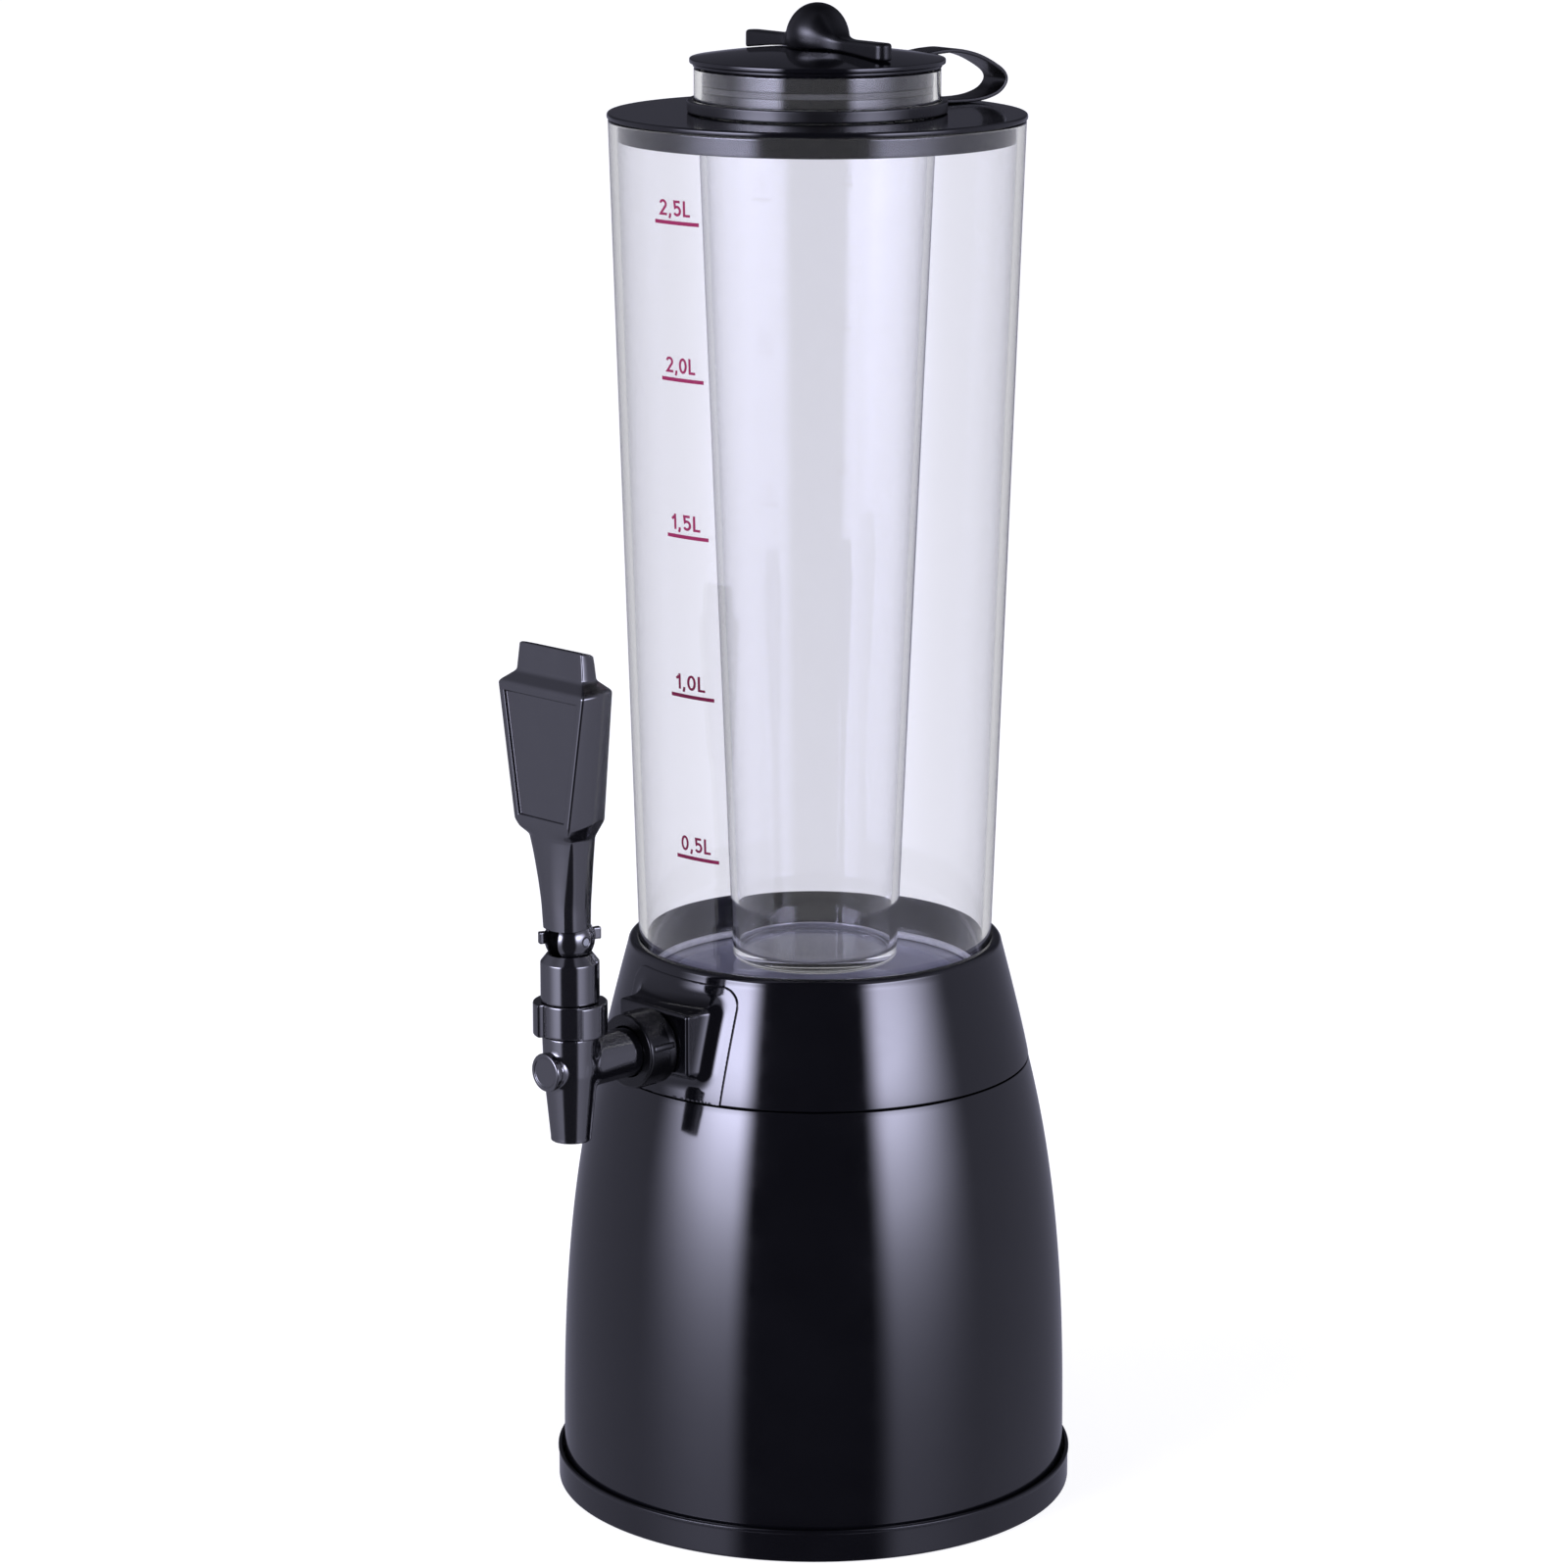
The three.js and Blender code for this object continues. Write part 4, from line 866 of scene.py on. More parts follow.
def block_field(x, y, z):
    """Block that flares into a pad, which stands a little proud of the casing and ends at the seam."""
    # The wall leans, so the true distance to it is a share of the level one
    square_share = 0.97
    out = (np.hypot(x, y) - upper_radius(z)) * square_share
    outline = overlap(PAD_CORNER, np.abs(x) - PAD_HALF + PAD_CORNER, z - PAD_TOP + PAD_CORNER)
    # The pad's middle lies under the wall's face, and its front stands proud of it
    level = np.abs(out + PAD_MIDDLE) - PAD_MIDDLE - PAD_PROUD + PAD_EDGE
    pad = overlap(PAD_EDGE, level, outline + PAD_EDGE)
    low = (-BLOCK_HALF, -BLOCK_REACH, TAP_HEIGHT - BLOCK_BELOW)
    block = in_box(x, y, z, low, (BLOCK_HALF, -60, TAP_HEIGHT + BLOCK_ABOVE), 1.3)
    flared = melted(block, pad, BLOCK_FLARE)
    return np.maximum(np.maximum(flared, BLOCK_BACK - np.hypot(x, y)), SEAM + SEAM_GAP / 2 - z)


def union_nut_shape(sides):
    """The round nut, and one of its ribs on the axis."""
    corners = [(10.6, 77.5, 0.2), (13.0, 77.5, 0.8), (12.6, 80.5, 0.6), (12.6, 89.4, 0.9)]
    corners += [(8.7, 89.4, 0.3), (8.7, 87.2, 0.2), (10.6, 87.2, 0.2)]
    rings = []
    half = [(0.6, 1.1), (1.2, 1.1), (1.45, 0.95), (1.6, 0.6)]
    outline = [(x, -y) for x, y in half] + half[::-1]
    for height, inset in ((79.0, 0.0), (87.2, 0.0), (87.9, 0.2), (88.2, 0.6)):
        rings.append([(x - (inset if x > 1 else 0) - 0.55, y * (1 - inset / 4), height) for x, y in outline])
    return hooped(corners, sides), lofted(rings)


def tap_body_field(x, y, z):
    """Tap body from the barrel's axis: barrel, shank, tail flange and hub, less the spout's bore."""
    # The barrel's outline is drawn inside by the rounding of its edges
    e = 0.45
    outline = [(-1, e - 25.2), (6.8 - e, e - 25.2), (6.8 - e, e - 24.4), (9.0 - e, -2), (9.4 - e, 11.2 - e)]
    outline += [(8.6 - e, 11.2 - e), (8.6 - e, 16.2 - e), (-1, 16.2 - e)]
    barrel = in_outline(outline, np.hypot(x, y), z) - e
    shank = in_rod(x, z, y, 8.4, 0, 29.2, 0.3)
    flange = in_rod(x, z, y, 9.9, 27.6, 29.4, 0.3)
    hub = in_rod(x, z, y, 6, -9.1, 0, 0.3)
    fillet = bpy.context.scene.tower_sizes.tap_fillet / MM
    body = np.minimum(melted(melted(barrel, shank, fillet), hub, fillet * 0.7), flange)
    spout = in_rod(x, y, z, 4.6, -30, -9, 0.2)
    throat = in_rod(x, y, z, 3.4, -10, -6, 0.2)
    chamber = in_rod(x, y, z, 6.1, -7, 20, 0.2)
    inlet = in_rod(x, z, y, SHANK_BORE, 0, 34, 0.2)
    hollow = np.minimum(np.minimum(spout, throat), np.minimum(chamber, inlet))
    return hollowed(body, hollow, 0.5)


def plug_shape():
    """Front plug with a softened rim and a shallow dish in its head."""
    corners = [(0, 6.1), (3.6, 6.1, 0.2), (3.6, 9.4, 0.1), (6.5, 9.4, 0.4), (6.5, 11.7, 0.6)]
    return spun(corners + [(5.2, 11.7, 0.3), (4.9, 11.35, 0.3), (0, 11.35)], 64)


def bonnet_nut_shape():
    """Sleeve with two broad lugs as one swept outline."""
    span, first = math.radians(103), math.radians(27.5)
    turns = list(np.linspace(-math.pi, math.pi, 120, endpoint=False))
    for middle in (first, first - math.pi):
        for side in (-1, 1):
            turns += [middle + side * span / 2 + math.radians(d) for d in np.linspace(-3.2, 3.2, 17)]
    turns = sorted({round((t + math.pi) % (2 * math.pi) - math.pi, 4) for t in turns})

    def outline(turn, inset):
        nearest = min(abs((turn - m + math.pi) % (2 * math.pi) - math.pi) for m in (first, first - math.pi))
        lug_share = smoothed(clamped(0.5 + (span / 2 - nearest) / math.radians(4.5)))
        return 10.2 + 2.2 * lug_share - inset

    foot, top, edge = 11.5, 22.6, 0.55
    bends = [(edge * (1 - math.sin(a)), edge * (1 - math.cos(a))) for a in np.linspace(0, math.pi / 2, 5)]
    levels = [(foot + gap, inset) for gap, inset in reversed(bends)]
    levels += [(foot + edge + 0.3, 0), (top - edge - 0.3, 0)]
    levels += [(top - gap, inset) for gap, inset in bends]
    rings = []
    for height, inset in levels:
        reaches = [outline(t, inset) for t in turns]
        rings.append([(r * math.cos(t), r * math.sin(t), height) for r, t in zip(reaches, turns)])
    bore = [(8.5, top), (8.2, top - 0.3), (8.2, 19.2), (8.9, 19.2), (8.9, foot + 0.3), (9.2, foot)]
    for radius, height in bore:
        rings.append([(radius * math.cos(t), radius * math.sin(t), height) for t in turns])
    corners, faces = lofted(rings, ends=False)
    count, last = len(turns), (len(rings) - 1) * len(turns)
    faces += [[last + i, last + (i + 1) % count, (i + 1) % count, i] for i in range(count)]
    return corners, faces


def bonnet_shape():
    """Bonnet with the lever's cup in its top, and the tongue that the lever turns on."""
    turns = np.linspace(-0.6, -math.pi / 2, 22)
    cup = [(CUP_RADIUS * math.cos(a), PIVOT_RISE + CUP_RADIUS * math.sin(a)) for a in turns]
    cup = [(r, z) for r, z in cup if z < CUP_RIM]
    cup[-1] = (0, PIVOT_RISE - CUP_RADIUS)
    mouth = math.sqrt(CUP_RADIUS**2 - (PIVOT_RISE - CUP_RIM) ** 2)
    corners = [(0, 17.3), (8.6, 17.3, 0.3), (8.6, 18.9, 0.2), (7.9, 18.9, 0.2), (7.9, 22.9, 0.2)]
    corners += [(9.8, 22.9, 0.3), (9.8, 36.2, 0.7), (7.6, CUP_RIM, 0.15), (mouth, CUP_RIM)]
    shell = turned(rounded(corners, closed=False) + cup, 96, closed=False)
    tongue = [(-2.3, 33.5), (2.3, 33.5), *arc((0, PIVOT_RISE), 2.3, 0, 180, 17)]
    rings = []
    for x, inset in ((-2.2, 0.15), (-2.05, 0), (2.05, 0), (2.2, 0.15)):
        wide, tall = 1 - inset / 2.3, 1 - inset / 10
        rings.append([(x, y * wide, PIVOT_RISE + (z - PIVOT_RISE) * tall) for y, z in tongue])
    across = Matrix.Translation((0, 0, PIVOT_RISE)) @ Matrix.Rotation(math.radians(90), 4, "Y")
    return joined(shell, carved(lofted(rings), [moved(rod(1.5, -4, 4, 32), across)]))


def lever_foot_field(x, y, z):
    """Ball, its two nubs and the crank pin, less the slot for the tongue and the hole for the pivot pin."""
    ball = np.sqrt(x * x + y * y + z * z) - BALL_RADIUS
    for turn in (math.radians(-23), math.radians(157)):
        along = -math.sin(turn) * x + math.cos(turn) * y
        aside = math.cos(turn) * x + math.sin(turn) * y
        nub = in_box(aside, along, z, (-1.2, 4, -1), (1.2, 10.7, 3), 0.35)
        ball = melted(ball, nub, 0.5)
    slot = in_box(x, y, z, (-2.6, -14, -14), (2.6, 14, 3.6), 0.3)
    hole = in_rod(y, z, x, 1.5, -12, 12, 0.2)
    foot = hollowed(ball, np.minimum(slot, hole), 0.4)
    crank = in_rod(y - 4.6, z + 2.6, x, 1, -4.7, 4.7, 0.1)
    return np.minimum(foot, crank)


def softened(knots, at, width):
    """Value on a line through knots, averaged over a width so that the knots are round."""
    spots = np.linspace(at - width, at + width, 15)
    return float(np.interp(spots, [k[0] for k in knots], [k[1] for k in knots]).mean())


def lever_handle_shape(edge):
    """Round stem that grows square, paddle with a bare recessed panel, and crown, lofted along the lever."""
    # Knots are a height along the lever and a value there
    half = [(0, 7.5), (12, 8.0), (26, 9.5), (35.5, 10.7), (41, 13.5), (86, 20.9), (89.5, 16.2), (99, 15.1)]
    front = [(0, 8.0), (20, 8.4), (35.5, 8.8), (41, 10.4), (86, 8.3), (89.5, 3.9), (99, 3.0)]
    back = [(0, 5.0), (35.5, 5.2), (41, 7.1), (86, 6.1), (89.5, 2.7), (99, 2.6)]
    front_corner = [(0, 5.4), (14, 5.0), (30, 2.6), (36, edge), (86, edge), (89.5, edge / 2), (99, edge / 2)]
    back_corner = [(0, 4.4), (35.5, 2.4), (41, 1.8), (86, 1.8), (89.5, 1.0), (99, 0.9)]
    front_crown = [(0, 1.0), (20, 1.8), (35.5, 2.0), (38.5, 0.0), (99, 0.0)]
    side_crown = [(0, 0.5), (35.5, 1.8), (41, 4.2), (86, 4.2), (89.5, 0.8), (99, 0.8)]
    panel_low, panel_high, margin, depth, step = 42.8, 83.2, 3.0, 0.8, 0.7
    levels = {4.2, 6.0, 8.0, 10.0, 12.0, LEVER_LENGTH} | set(np.arange(14.0, 34.6, 1.5))
    for knot in (35.5, 38.5, 41, 86, 89.5):
        levels |= {round(knot + d, 3) for d in np.linspace(-0.9, 0.9, 7)}
    for line in (panel_low, panel_high):
        levels |= {round(line + step * d, 3) for d in (-0.7, -0.5, -0.3, -0.1, 0.1, 0.3, 0.5, 0.7)}
    levels |= set(np.arange(45.0, 82.0, 3.0)) | set(np.arange(91.5, 98.0, 1.5))
    levels |= {round(LEVER_LENGTH - 0.8 + 0.8 * math.sin(a), 3) for a in np.linspace(0, math.pi / 2, 6)}
    rings = []
    for height in sorted(levels):
        top_share = max(0, (height - LEVER_LENGTH + 0.8) / 0.8)
        inset = 0.8 * (1 - math.sqrt(max(0, 1 - top_share**2)))

        def value(knots):
            return softened(knots, min(height, 98), 0.7)

        # Half width, reach of the front and of the back, and the radii of their corners
        hw, f, b = value(half) - inset, value(front) - inset, value(back) - inset
        rf, rb = value(front_corner), value(back_corner)
        crown, bulge = max(value(front_crown), 0), value(side_crown)
        end = hw - rf
        for _ in range(3):
            tilt = math.atan(2 * crown / end)
            end = hw - rf + rf * math.sin(tilt)
        low = -f + crown + rf * math.cos(tilt)
        rows_share = clamped(min(height - panel_low, panel_high - height) / step + 0.5)
        inner = hw - margin
        xs = [inner + step * d for d in (0.7, 0.5, 0.3, 0.1, -0.1, -0.3, -0.5, -0.7)]
        xs += [s * (inner - 0.8) for s in (0.88, 0.66, 0.44, 0.22, 0.0)]
        face = []
        for x in xs:
            panel_share = smoothed(min(clamped((inner - x) / step + 0.5), rows_share))
            face.append((x, -f + crown * (x / end) ** 2 + depth * panel_share))
        right = list(reversed(face))
        reach = max(b - rb - low, 0.2)
        lead, lean = math.atan(0.8 * bulge / reach), math.atan(1.2 * bulge / reach)
        right += arc((hw - rf, low), rf, -90 + math.degrees(tilt), -math.degrees(lead), 9)
        right += [(hw + bulge * t * (0.8 - t), low + reach * t) for t in (0.12, 0.26, 0.4, 0.55, 0.7, 0.85)]
        right += arc((hw - 0.2 * bulge - rb * math.cos(lean), b - rb), rb, math.degrees(lean), 90, 8)
        right += [(hw * 0.3, b)]
        ring = right + [(-x, y) for x, y in reversed(right[1:])]
        slant = 0.3 * clamped((height - LEVER_LENGTH + 4) / 4)
        rings.append([(x, y, height - slant * (y + f)) for x, y in ring])
    rings.append([(x * 0.9, y * 0.82, z) for x, y, z in rings[-1]])
    return moved(lofted(rings), Matrix.Rotation(LEVER_LEAN, 4, "X"))


def handle_field(x, y, z):
    """Cap handle: a round knob that flares into a bar lying across the dome, and a peg below it."""
    knob = np.sqrt(x * x + y * y + (z - KNOB_CENTRE) ** 2) - KNOB_RADIUS
    side = np.hypot(np.maximum(np.abs(x) - BAR_END + BAR_HALF, 0), y) - BAR_HALF + BAR_EDGE
    rise = np.abs(z - dome_height(BAR_END) - 3.3) - 3.0 + BAR_EDGE
    handle = melted(knob, overlap(BAR_EDGE, side, rise), 9.0)
    under = z - dome_height(np.hypot(x, y)) - 0.3
    return np.minimum(hollowed(handle, under, 0.4), in_rod(x, y, z, 3, 496.9, KNOB_CENTRE, 0.3))


def smooth_route(knots, steps):
    """Smooth curve through points of a plane."""
    spots = np.array(knots, float)
    spots = np.vstack((2 * spots[0] - spots[1], spots, 2 * spots[-1] - spots[-2]))
    route = []
    for a, b, c, d in zip(spots, spots[1:], spots[2:], spots[3:]):
        for t in np.arange(steps) / steps:
            bend = (2 * a - 5 * b + 4 * c - d) * t * t + (3 * b - a - 3 * c + d) * t**3
            route.append(tuple((2 * b + (c - a) * t + bend) / 2))
    return route + [knots[-1]]


def strap_shape():
    """Ring on the neck, and a flat band that loops up to the cap's rim."""
    ring = hooped([(41.6, 480.3, 0.3), (43.6, 480.3, 0.4), (43.6, 484.3, 0.5), (41.6, 484.3, 0.4)], 96)
    knots = [(42.2, 481.6), (48, 481.2), (56, 480.9), (63.5, 480.95), (69.5, 481.7), (74.6, 483.5)]
    knots += [(77.4, 486.6), (76.4, 489.7), (71.6, 492.9), (64.6, 496.0), (56, 497.9), (49, 497.9)]
    knots += [(43.1, 497.3)]
    route = smooth_route(knots, 5)
    section = []
    for cx, cy, first in ((5.55, -0.25, -90), (5.55, 0.25, 0), (-5.55, 0.25, 90), (-5.55, -0.25, 180)):
        section += arc((cx, cy), 0.45, first, first + 90, 5)
    rings = []
    for i, (y, z) in enumerate(route):
        before, after = route[max(i - 1, 0)], route[min(i + 1, len(route) - 1)]
        along = np.array(after) - np.array(before)
        along /= np.linalg.norm(along)
        if i == len(route) - 1:
            along = np.array((-1.0, 0.0))
        side = (-along[1], along[0])
        rings.append([(u, y + v * side[0], z + v * side[1]) for u, v in section])
    return moved(joined(ring, lofted(rings)), Matrix.Rotation(CAP_TURN, 4, "Z"))


def stroked(path, width, closed=False):
    """A flat stroke along a path, with mitred corners."""
    points = [np.array(p, float) for p in path]
    count = len(points)
    sides = []
    for i, here in enumerate(points):
        before = points[i - 1] if closed or i else 2 * here - points[1]
        after = points[(i + 1) % count] if closed or i < count - 1 else 2 * here - points[-2]
        first, second = here - before, after - here
        first, second = first / np.linalg.norm(first), second / np.linalg.norm(second)
        across = np.array((-first[1] - second[1], first[0] + second[0]))
        across /= np.linalg.norm(across)
        spread = width / 2 / max(0.4, float(across @ np.array((-second[1], second[0]))))
        sides.append((here - across * spread, here + across * spread))
    rings = [[(*a, 0.0), (*b, 0.0), (*b, INK_DEPTH), (*a, INK_DEPTH)] for a, b in sides]
    if not closed:
        corners, faces = lofted(rings, ends=False)
        last = len(corners) - 4
        return corners, faces + [[0, 1, 2, 3], [last, last + 1, last + 2, last + 3]]
    return lofted(rings + [rings[0]], ends=False)


def figure_shapes(figures, height):
    """Plain upright figures as strokes, and their whole width."""
    tall, wide, b = height - STROKE, 0.62 * height - STROKE, STROKE / 2
    strokes, at = [], 0.0
    for figure in figures:
        if figure == "0":
            loop = arc((wide / 2 + b, tall / 2 + b), wide / 2, 0, 342, 20, tall / 2)
            parts, width = [(loop, True)], wide + STROKE
        elif figure == "1":
            stem = [(1.05 + b, 0), (1.05 + b, height)]
            flag = [(0.15, height - 1.75), (0.75, height - 1.35), (1.05, height - 0.75)]
            parts, width = [(stem, False), (flag, False)], 1.05 + STROKE
        elif figure == "2":
            bow = arc((wide / 2 + b, height - b - 0.27 * tall), wide / 2, 165, -28, 13, 0.27 * tall)
            parts, width = [(bow + [(b + 0.1, b), (wide + STROKE, b)], False)], wide + STROKE
        elif figure == "5":
            bow = arc((wide / 2 + b, b + 0.31 * tall), wide / 2, 128, -150, 15, 0.31 * tall)
            parts, width = [([(wide + b, height - b), (b + 0.25, height - b)] + bow, False)], wide + STROKE
        elif figure == ",":
            parts, width = [([(0.62, STROKE), (0.62, 0.2), (0.3, -0.8)], False)], STROKE + 0.25
        else:
            parts, width = [([(b, height), (b, b), (0.5 * height, b)], False)], 0.5 * height
        for path, closed in parts:
            strokes.append(stroked([(at + x, y) for x, y in path], STROKE, closed))
        at += width + FIGURE_GAP
    return joined(*strokes), at - FIGURE_GAP


def mark_shape(figures, height, first_turn, last_turn, sizes):
    """One litre mark: figures and a line under them, wrapped on the tank's cone between two turns."""
    radius, first = tank_radius(height), math.radians(first_turn)
    span = radius * math.radians(last_turn - first_turn)
    line_height = sizes.line_height / MM
    (corners, faces), width = figure_shapes(figures, sizes.figure_height / MM)
    # The figures are widened a little, up to a share of the line, and stand nearer to its start
    stretch = min(1.18, 0.7 * span / width)
    start, lift = (span - width * stretch) * 0.4, line_height + LINE_GAP
    letters = [(start + x * stretch, y + lift, z) for x, y, z in corners], faces
    line = stroked([(span * k / 20, line_height / 2) for k in range(21)], line_height)
    corners, faces = joined(letters, line)
    wrapped = []
    for x, y, z in corners:
        turn, out = first + x / radius, tank_radius(height + y) + INK_LIFT + z
        wrapped.append((out * math.sin(turn), -out * math.cos(turn), height + y))
    return wrapped, faces


# Operators


class TOWER_OT_base(bpy.types.Operator):
    """Make the base tray, its mat and its screws"""

    bl_idname = "tower.base"
    bl_label = "Base"

    def execute(self, context):
        sides = context.scene.tower_sizes.round_sides
        finished("tray_with_ring", base_tray_shape(sides), "casing", "tower", ["base_tray"])
        mat = spun([(0, 0), (MAT_RADIUS, 0, 0.4), (MAT_RADIUS, MAT_TOP, 0.3), (0, MAT_TOP)], sides)
        finished("rubber_mat", mat, "rubber", "tower", ["non_slip_mat"])
        screws = repeated("pan_head_screws", screw_shape(), None, 4, SCREW_CIRCLE, math.radians(45), "steel")
        names = [f"base_screw_{i}" for i in range(1, 5)]
        on_body(screws, "tower", names)
        return {"FINISHED"}


class TOWER_OT_casing(bpy.types.Operator):
    """Make the lower and the upper casing"""

    bl_idname = "tower.casing"
    bl_label = "Casing"

    def execute(self, context):
        sizes = context.scene.tower_sizes
        top = SEAM - SEAM_GAP / 2
        skin = from_nodes(
            "lower_bell",
            bell_tree(),
            {
                "Sides": sizes.round_sides,
                "Rows": 85,
                "Foot height": CASING_FOOT * MM,
                "Top height": top * MM,
                "Foot radius": CASING_FOOT_RADIUS * MM,
                "Top radius": SEAM_RADIUS * MM,
                "Power": BELL_POWER,
                "Edge": sizes.seam_edge,
                "Finish": finishes["casing"],
            },
        )
        wall = skin.modifiers.new("wall", "SOLIDIFY")
        wall.thickness = CASING_WALL * MM
        wall.offset = -1
        wall.use_rim = True
        shell = evaluated(skin)
        discard(skin)
        outer = upper_radius(SEAM + 4) - CASING_WALL - 0.3
        lap = [(outer - 1.8, 146), (outer + 1.5, 146), (outer, 153), (outer, 158, 0.4), (outer - 1.8, 158)]
        bell = joined(shape_of(shell), hooped(lap, sizes.round_sides))
        bpy.data.meshes.remove(shell)
        finished("lower_bell", bell, "casing", "tower", ["lower_casing"])
        collar = upper_casing_shape(sizes.round_sides, sizes.seam_edge / MM)
        finished("upper_collar", collar, "casing", "tower", ["upper_casing"])
        return {"FINISHED"}


class TOWER_OT_tank(bpy.types.Operator):
    """Make the bowl, its seals and the clear tank"""

    bl_idname = "tower.tank"
    bl_label = "Tank"

    def execute(self, context):
        sides = context.scene.tower_sizes.round_sides
        corners = [(0, BOWL_FLOOR - 2.4), (44, BOWL_FLOOR - 2.4, 1), (52.4, BOWL_FLOOR + 2.4, 1)]
        corners += [(52.4, BOWL_TOP - 2.6, 0.3), (60.9, BOWL_TOP - 2.6, 0.3), (60.9, BOWL_TOP, 0.3)]
        corners += [(50.6, BOWL_TOP, 0.5), (50, BOWL_TOP - 2.4, 1), (48.8, BOWL_FLOOR + 4.8, 2)]
        corners += [(43, BOWL_FLOOR, 3), (0, BOWL_FLOOR)]
        bowl = carved(spun(corners, sides, steps=6), [outward(rod(SHANK_BORE, 30, 70, 48))])
        stub = outward(hooped([(SHANK_BORE, 47), (7, 47), (7, 58.5, 0.4), (SHANK_BORE, 58.5, 0.3)], 48))
        finished("outlet_bowl", joined(bowl, stub), "bowl", "tower", ["drain_bowl"])
        corners = [(56.9, 182.5, 0.6), (60.9, 182.5, 0.6), (60.9, 184.5, 0.6), (56.9, 184.5, 0.6)]
        finished("gasket_ring", hooped(corners, sides), "seals", "tower", ["tank_gasket"])
        foot, top = TANK_FOOT_RADIUS, TANK_TOP_RADIUS
        corners = [(foot, TANK_FOOT, 0.4), (top, TANK_TOP, 0.6)]
        corners += [(top - TANK_WALL, TANK_TOP, 0.6), (foot - TANK_WALL, TANK_FOOT, 0.4)]
        wall = finished("tank_tube", hooped(corners, sides + 32), "tank", "tower", ["tank"])
        wall.visible_shadow = False
        dressed("seals", "outlet_seal")
        return {"FINISHED"}


class TOWER_OT_marks(bpy.types.Operator):
    """Print the litre marks on the tank"""

    bl_idname = "tower.marks"
    bl_label = "Litre marks"

    def execute(self, context):
        sizes = context.scene.tower_sizes
        # Figures, height, and the turns in degrees between which the line runs
        marks = [
            ("2,5L", 448.1, -4.9, 11.3),
            ("2,0L", 396.4, -3.9, 11.8),
            ("1,5L", 344.0, -3.4, 12.4),
            ("1,0L", 289.8, -3.7, 13.3),
            ("0,5L", 234.1, -3.2, 13.9),
        ]
        finished("litre_marks", joined(*(mark_shape(*mark, sizes) for mark in marks)), "marks", "tower")
        return {"FINISHED"}


class TOWER_OT_lid(bpy.types.Operator):
    """Make the lid and the ice tube that hangs in it"""

    bl_idname = "tower.lid"
    bl_label = "Lid and ice tube"

    def execute(self, context):
        sizes = context.scene.tower_sizes
        skirt = tank_radius(471.2) - TANK_WALL - 0.4
        corners = [(40.4, LID_TOP, 0.3), (40.4, 469.2, 0.3), (42.2, 469.2, 0.3), (42.2, LID_UNDER, 0.4)]
        corners += [(skirt - 1.8, LID_UNDER, 0.4), (skirt - 1.8, 471.2, 0.4), (skirt, 471.2, 0.5)]
        edge = sizes.lid_edge / MM
        corners += [(skirt, LID_UNDER, 0.3), (LID_RADIUS, LID_UNDER, edge), (LID_RADIUS, LID_TOP, 0.8)]
        finished("lid_disc", hooped(corners, sizes.round_sides), "casing", "lid", ["lid"])
        corners = [(0, ICE_FOOT), (28.3, ICE_FOOT, 1.6), (40, NECK_FOOT, 0.2), (41.3, NECK_FOOT, 0.4)]
        corners += [(41.3, NECK_TOP, 0.5), (38.9, NECK_TOP, 0.5), (38.9, NECK_FOOT + 2.4, 0.6)]
        corners += [(37.6, NECK_FOOT, 0.6), (26.04, ICE_FOOT + 3.5, 1.6), (0, ICE_FOOT + 3.5)]
        tube = spun(corners, sizes.round_sides, steps=5)
        cup = finished("ice_tube_cup", tube, "ice_tube", "lid", ["ice_tube"])
        cup.visible_shadow = False
        return {"FINISHED"}


class TOWER_OT_cap(bpy.types.Operator):
    """Make the cap, its seal, its handle and the strap"""

    bl_idname = "tower.cap"
    bl_label = "Cap and strap"

    def execute(self, context):
        sides = context.scene.tower_sizes.round_sides
        dome = [(r, dome_height(r)) for r in np.linspace(41.9, 3.6, 20)]
        under = [(r, dome_height(r) - 2) for r in np.linspace(3.3, 35.4, 12)]
        corners = [(35.4, 484.1, 0.5), (38.5, 484.1, 0.5), (38.5, 487.2, 0.2), (37.2, 487.2, 0.2)]
        corners += [(37.2, 489.6, 0.2), (38.5, 489.6, 0.2), (38.5, 495.1, 0.2), (41.6, 495.1, 0.4)]
        corners += [(41.6, CAP_RIM_FOOT, 0.2), (CAP_RIM_RADIUS, CAP_RIM_FOOT, 0.5)]
        corners += [(CAP_RIM_RADIUS, CAP_RIM_TOP, 0.6), dome[0]]
        outside = rounded(corners, closed=False) + dome[1:] + [(3.3, dome_height(3.3) - 0.3)]
        finished("domed_cap", turned(outside + under, sides), "casing", "cap", ["cap"])
        knob = moulded(handle_field, (-38.6, -11, 495.5), (38.6, 11, 517.5), MOULD_CELL)
        knob = moved(knob, Matrix.Rotation(CAP_TURN, 4, "Z"))
        finished("knob_and_bar", knob, "handle", "cap", ["cap_handle"], 60)
        strap = finished("tether_strap", strap_shape(), "strap", None, ["cap_strap"])
        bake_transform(strap)
        dressed("rubber", "cap_seal")
        return {"FINISHED"}


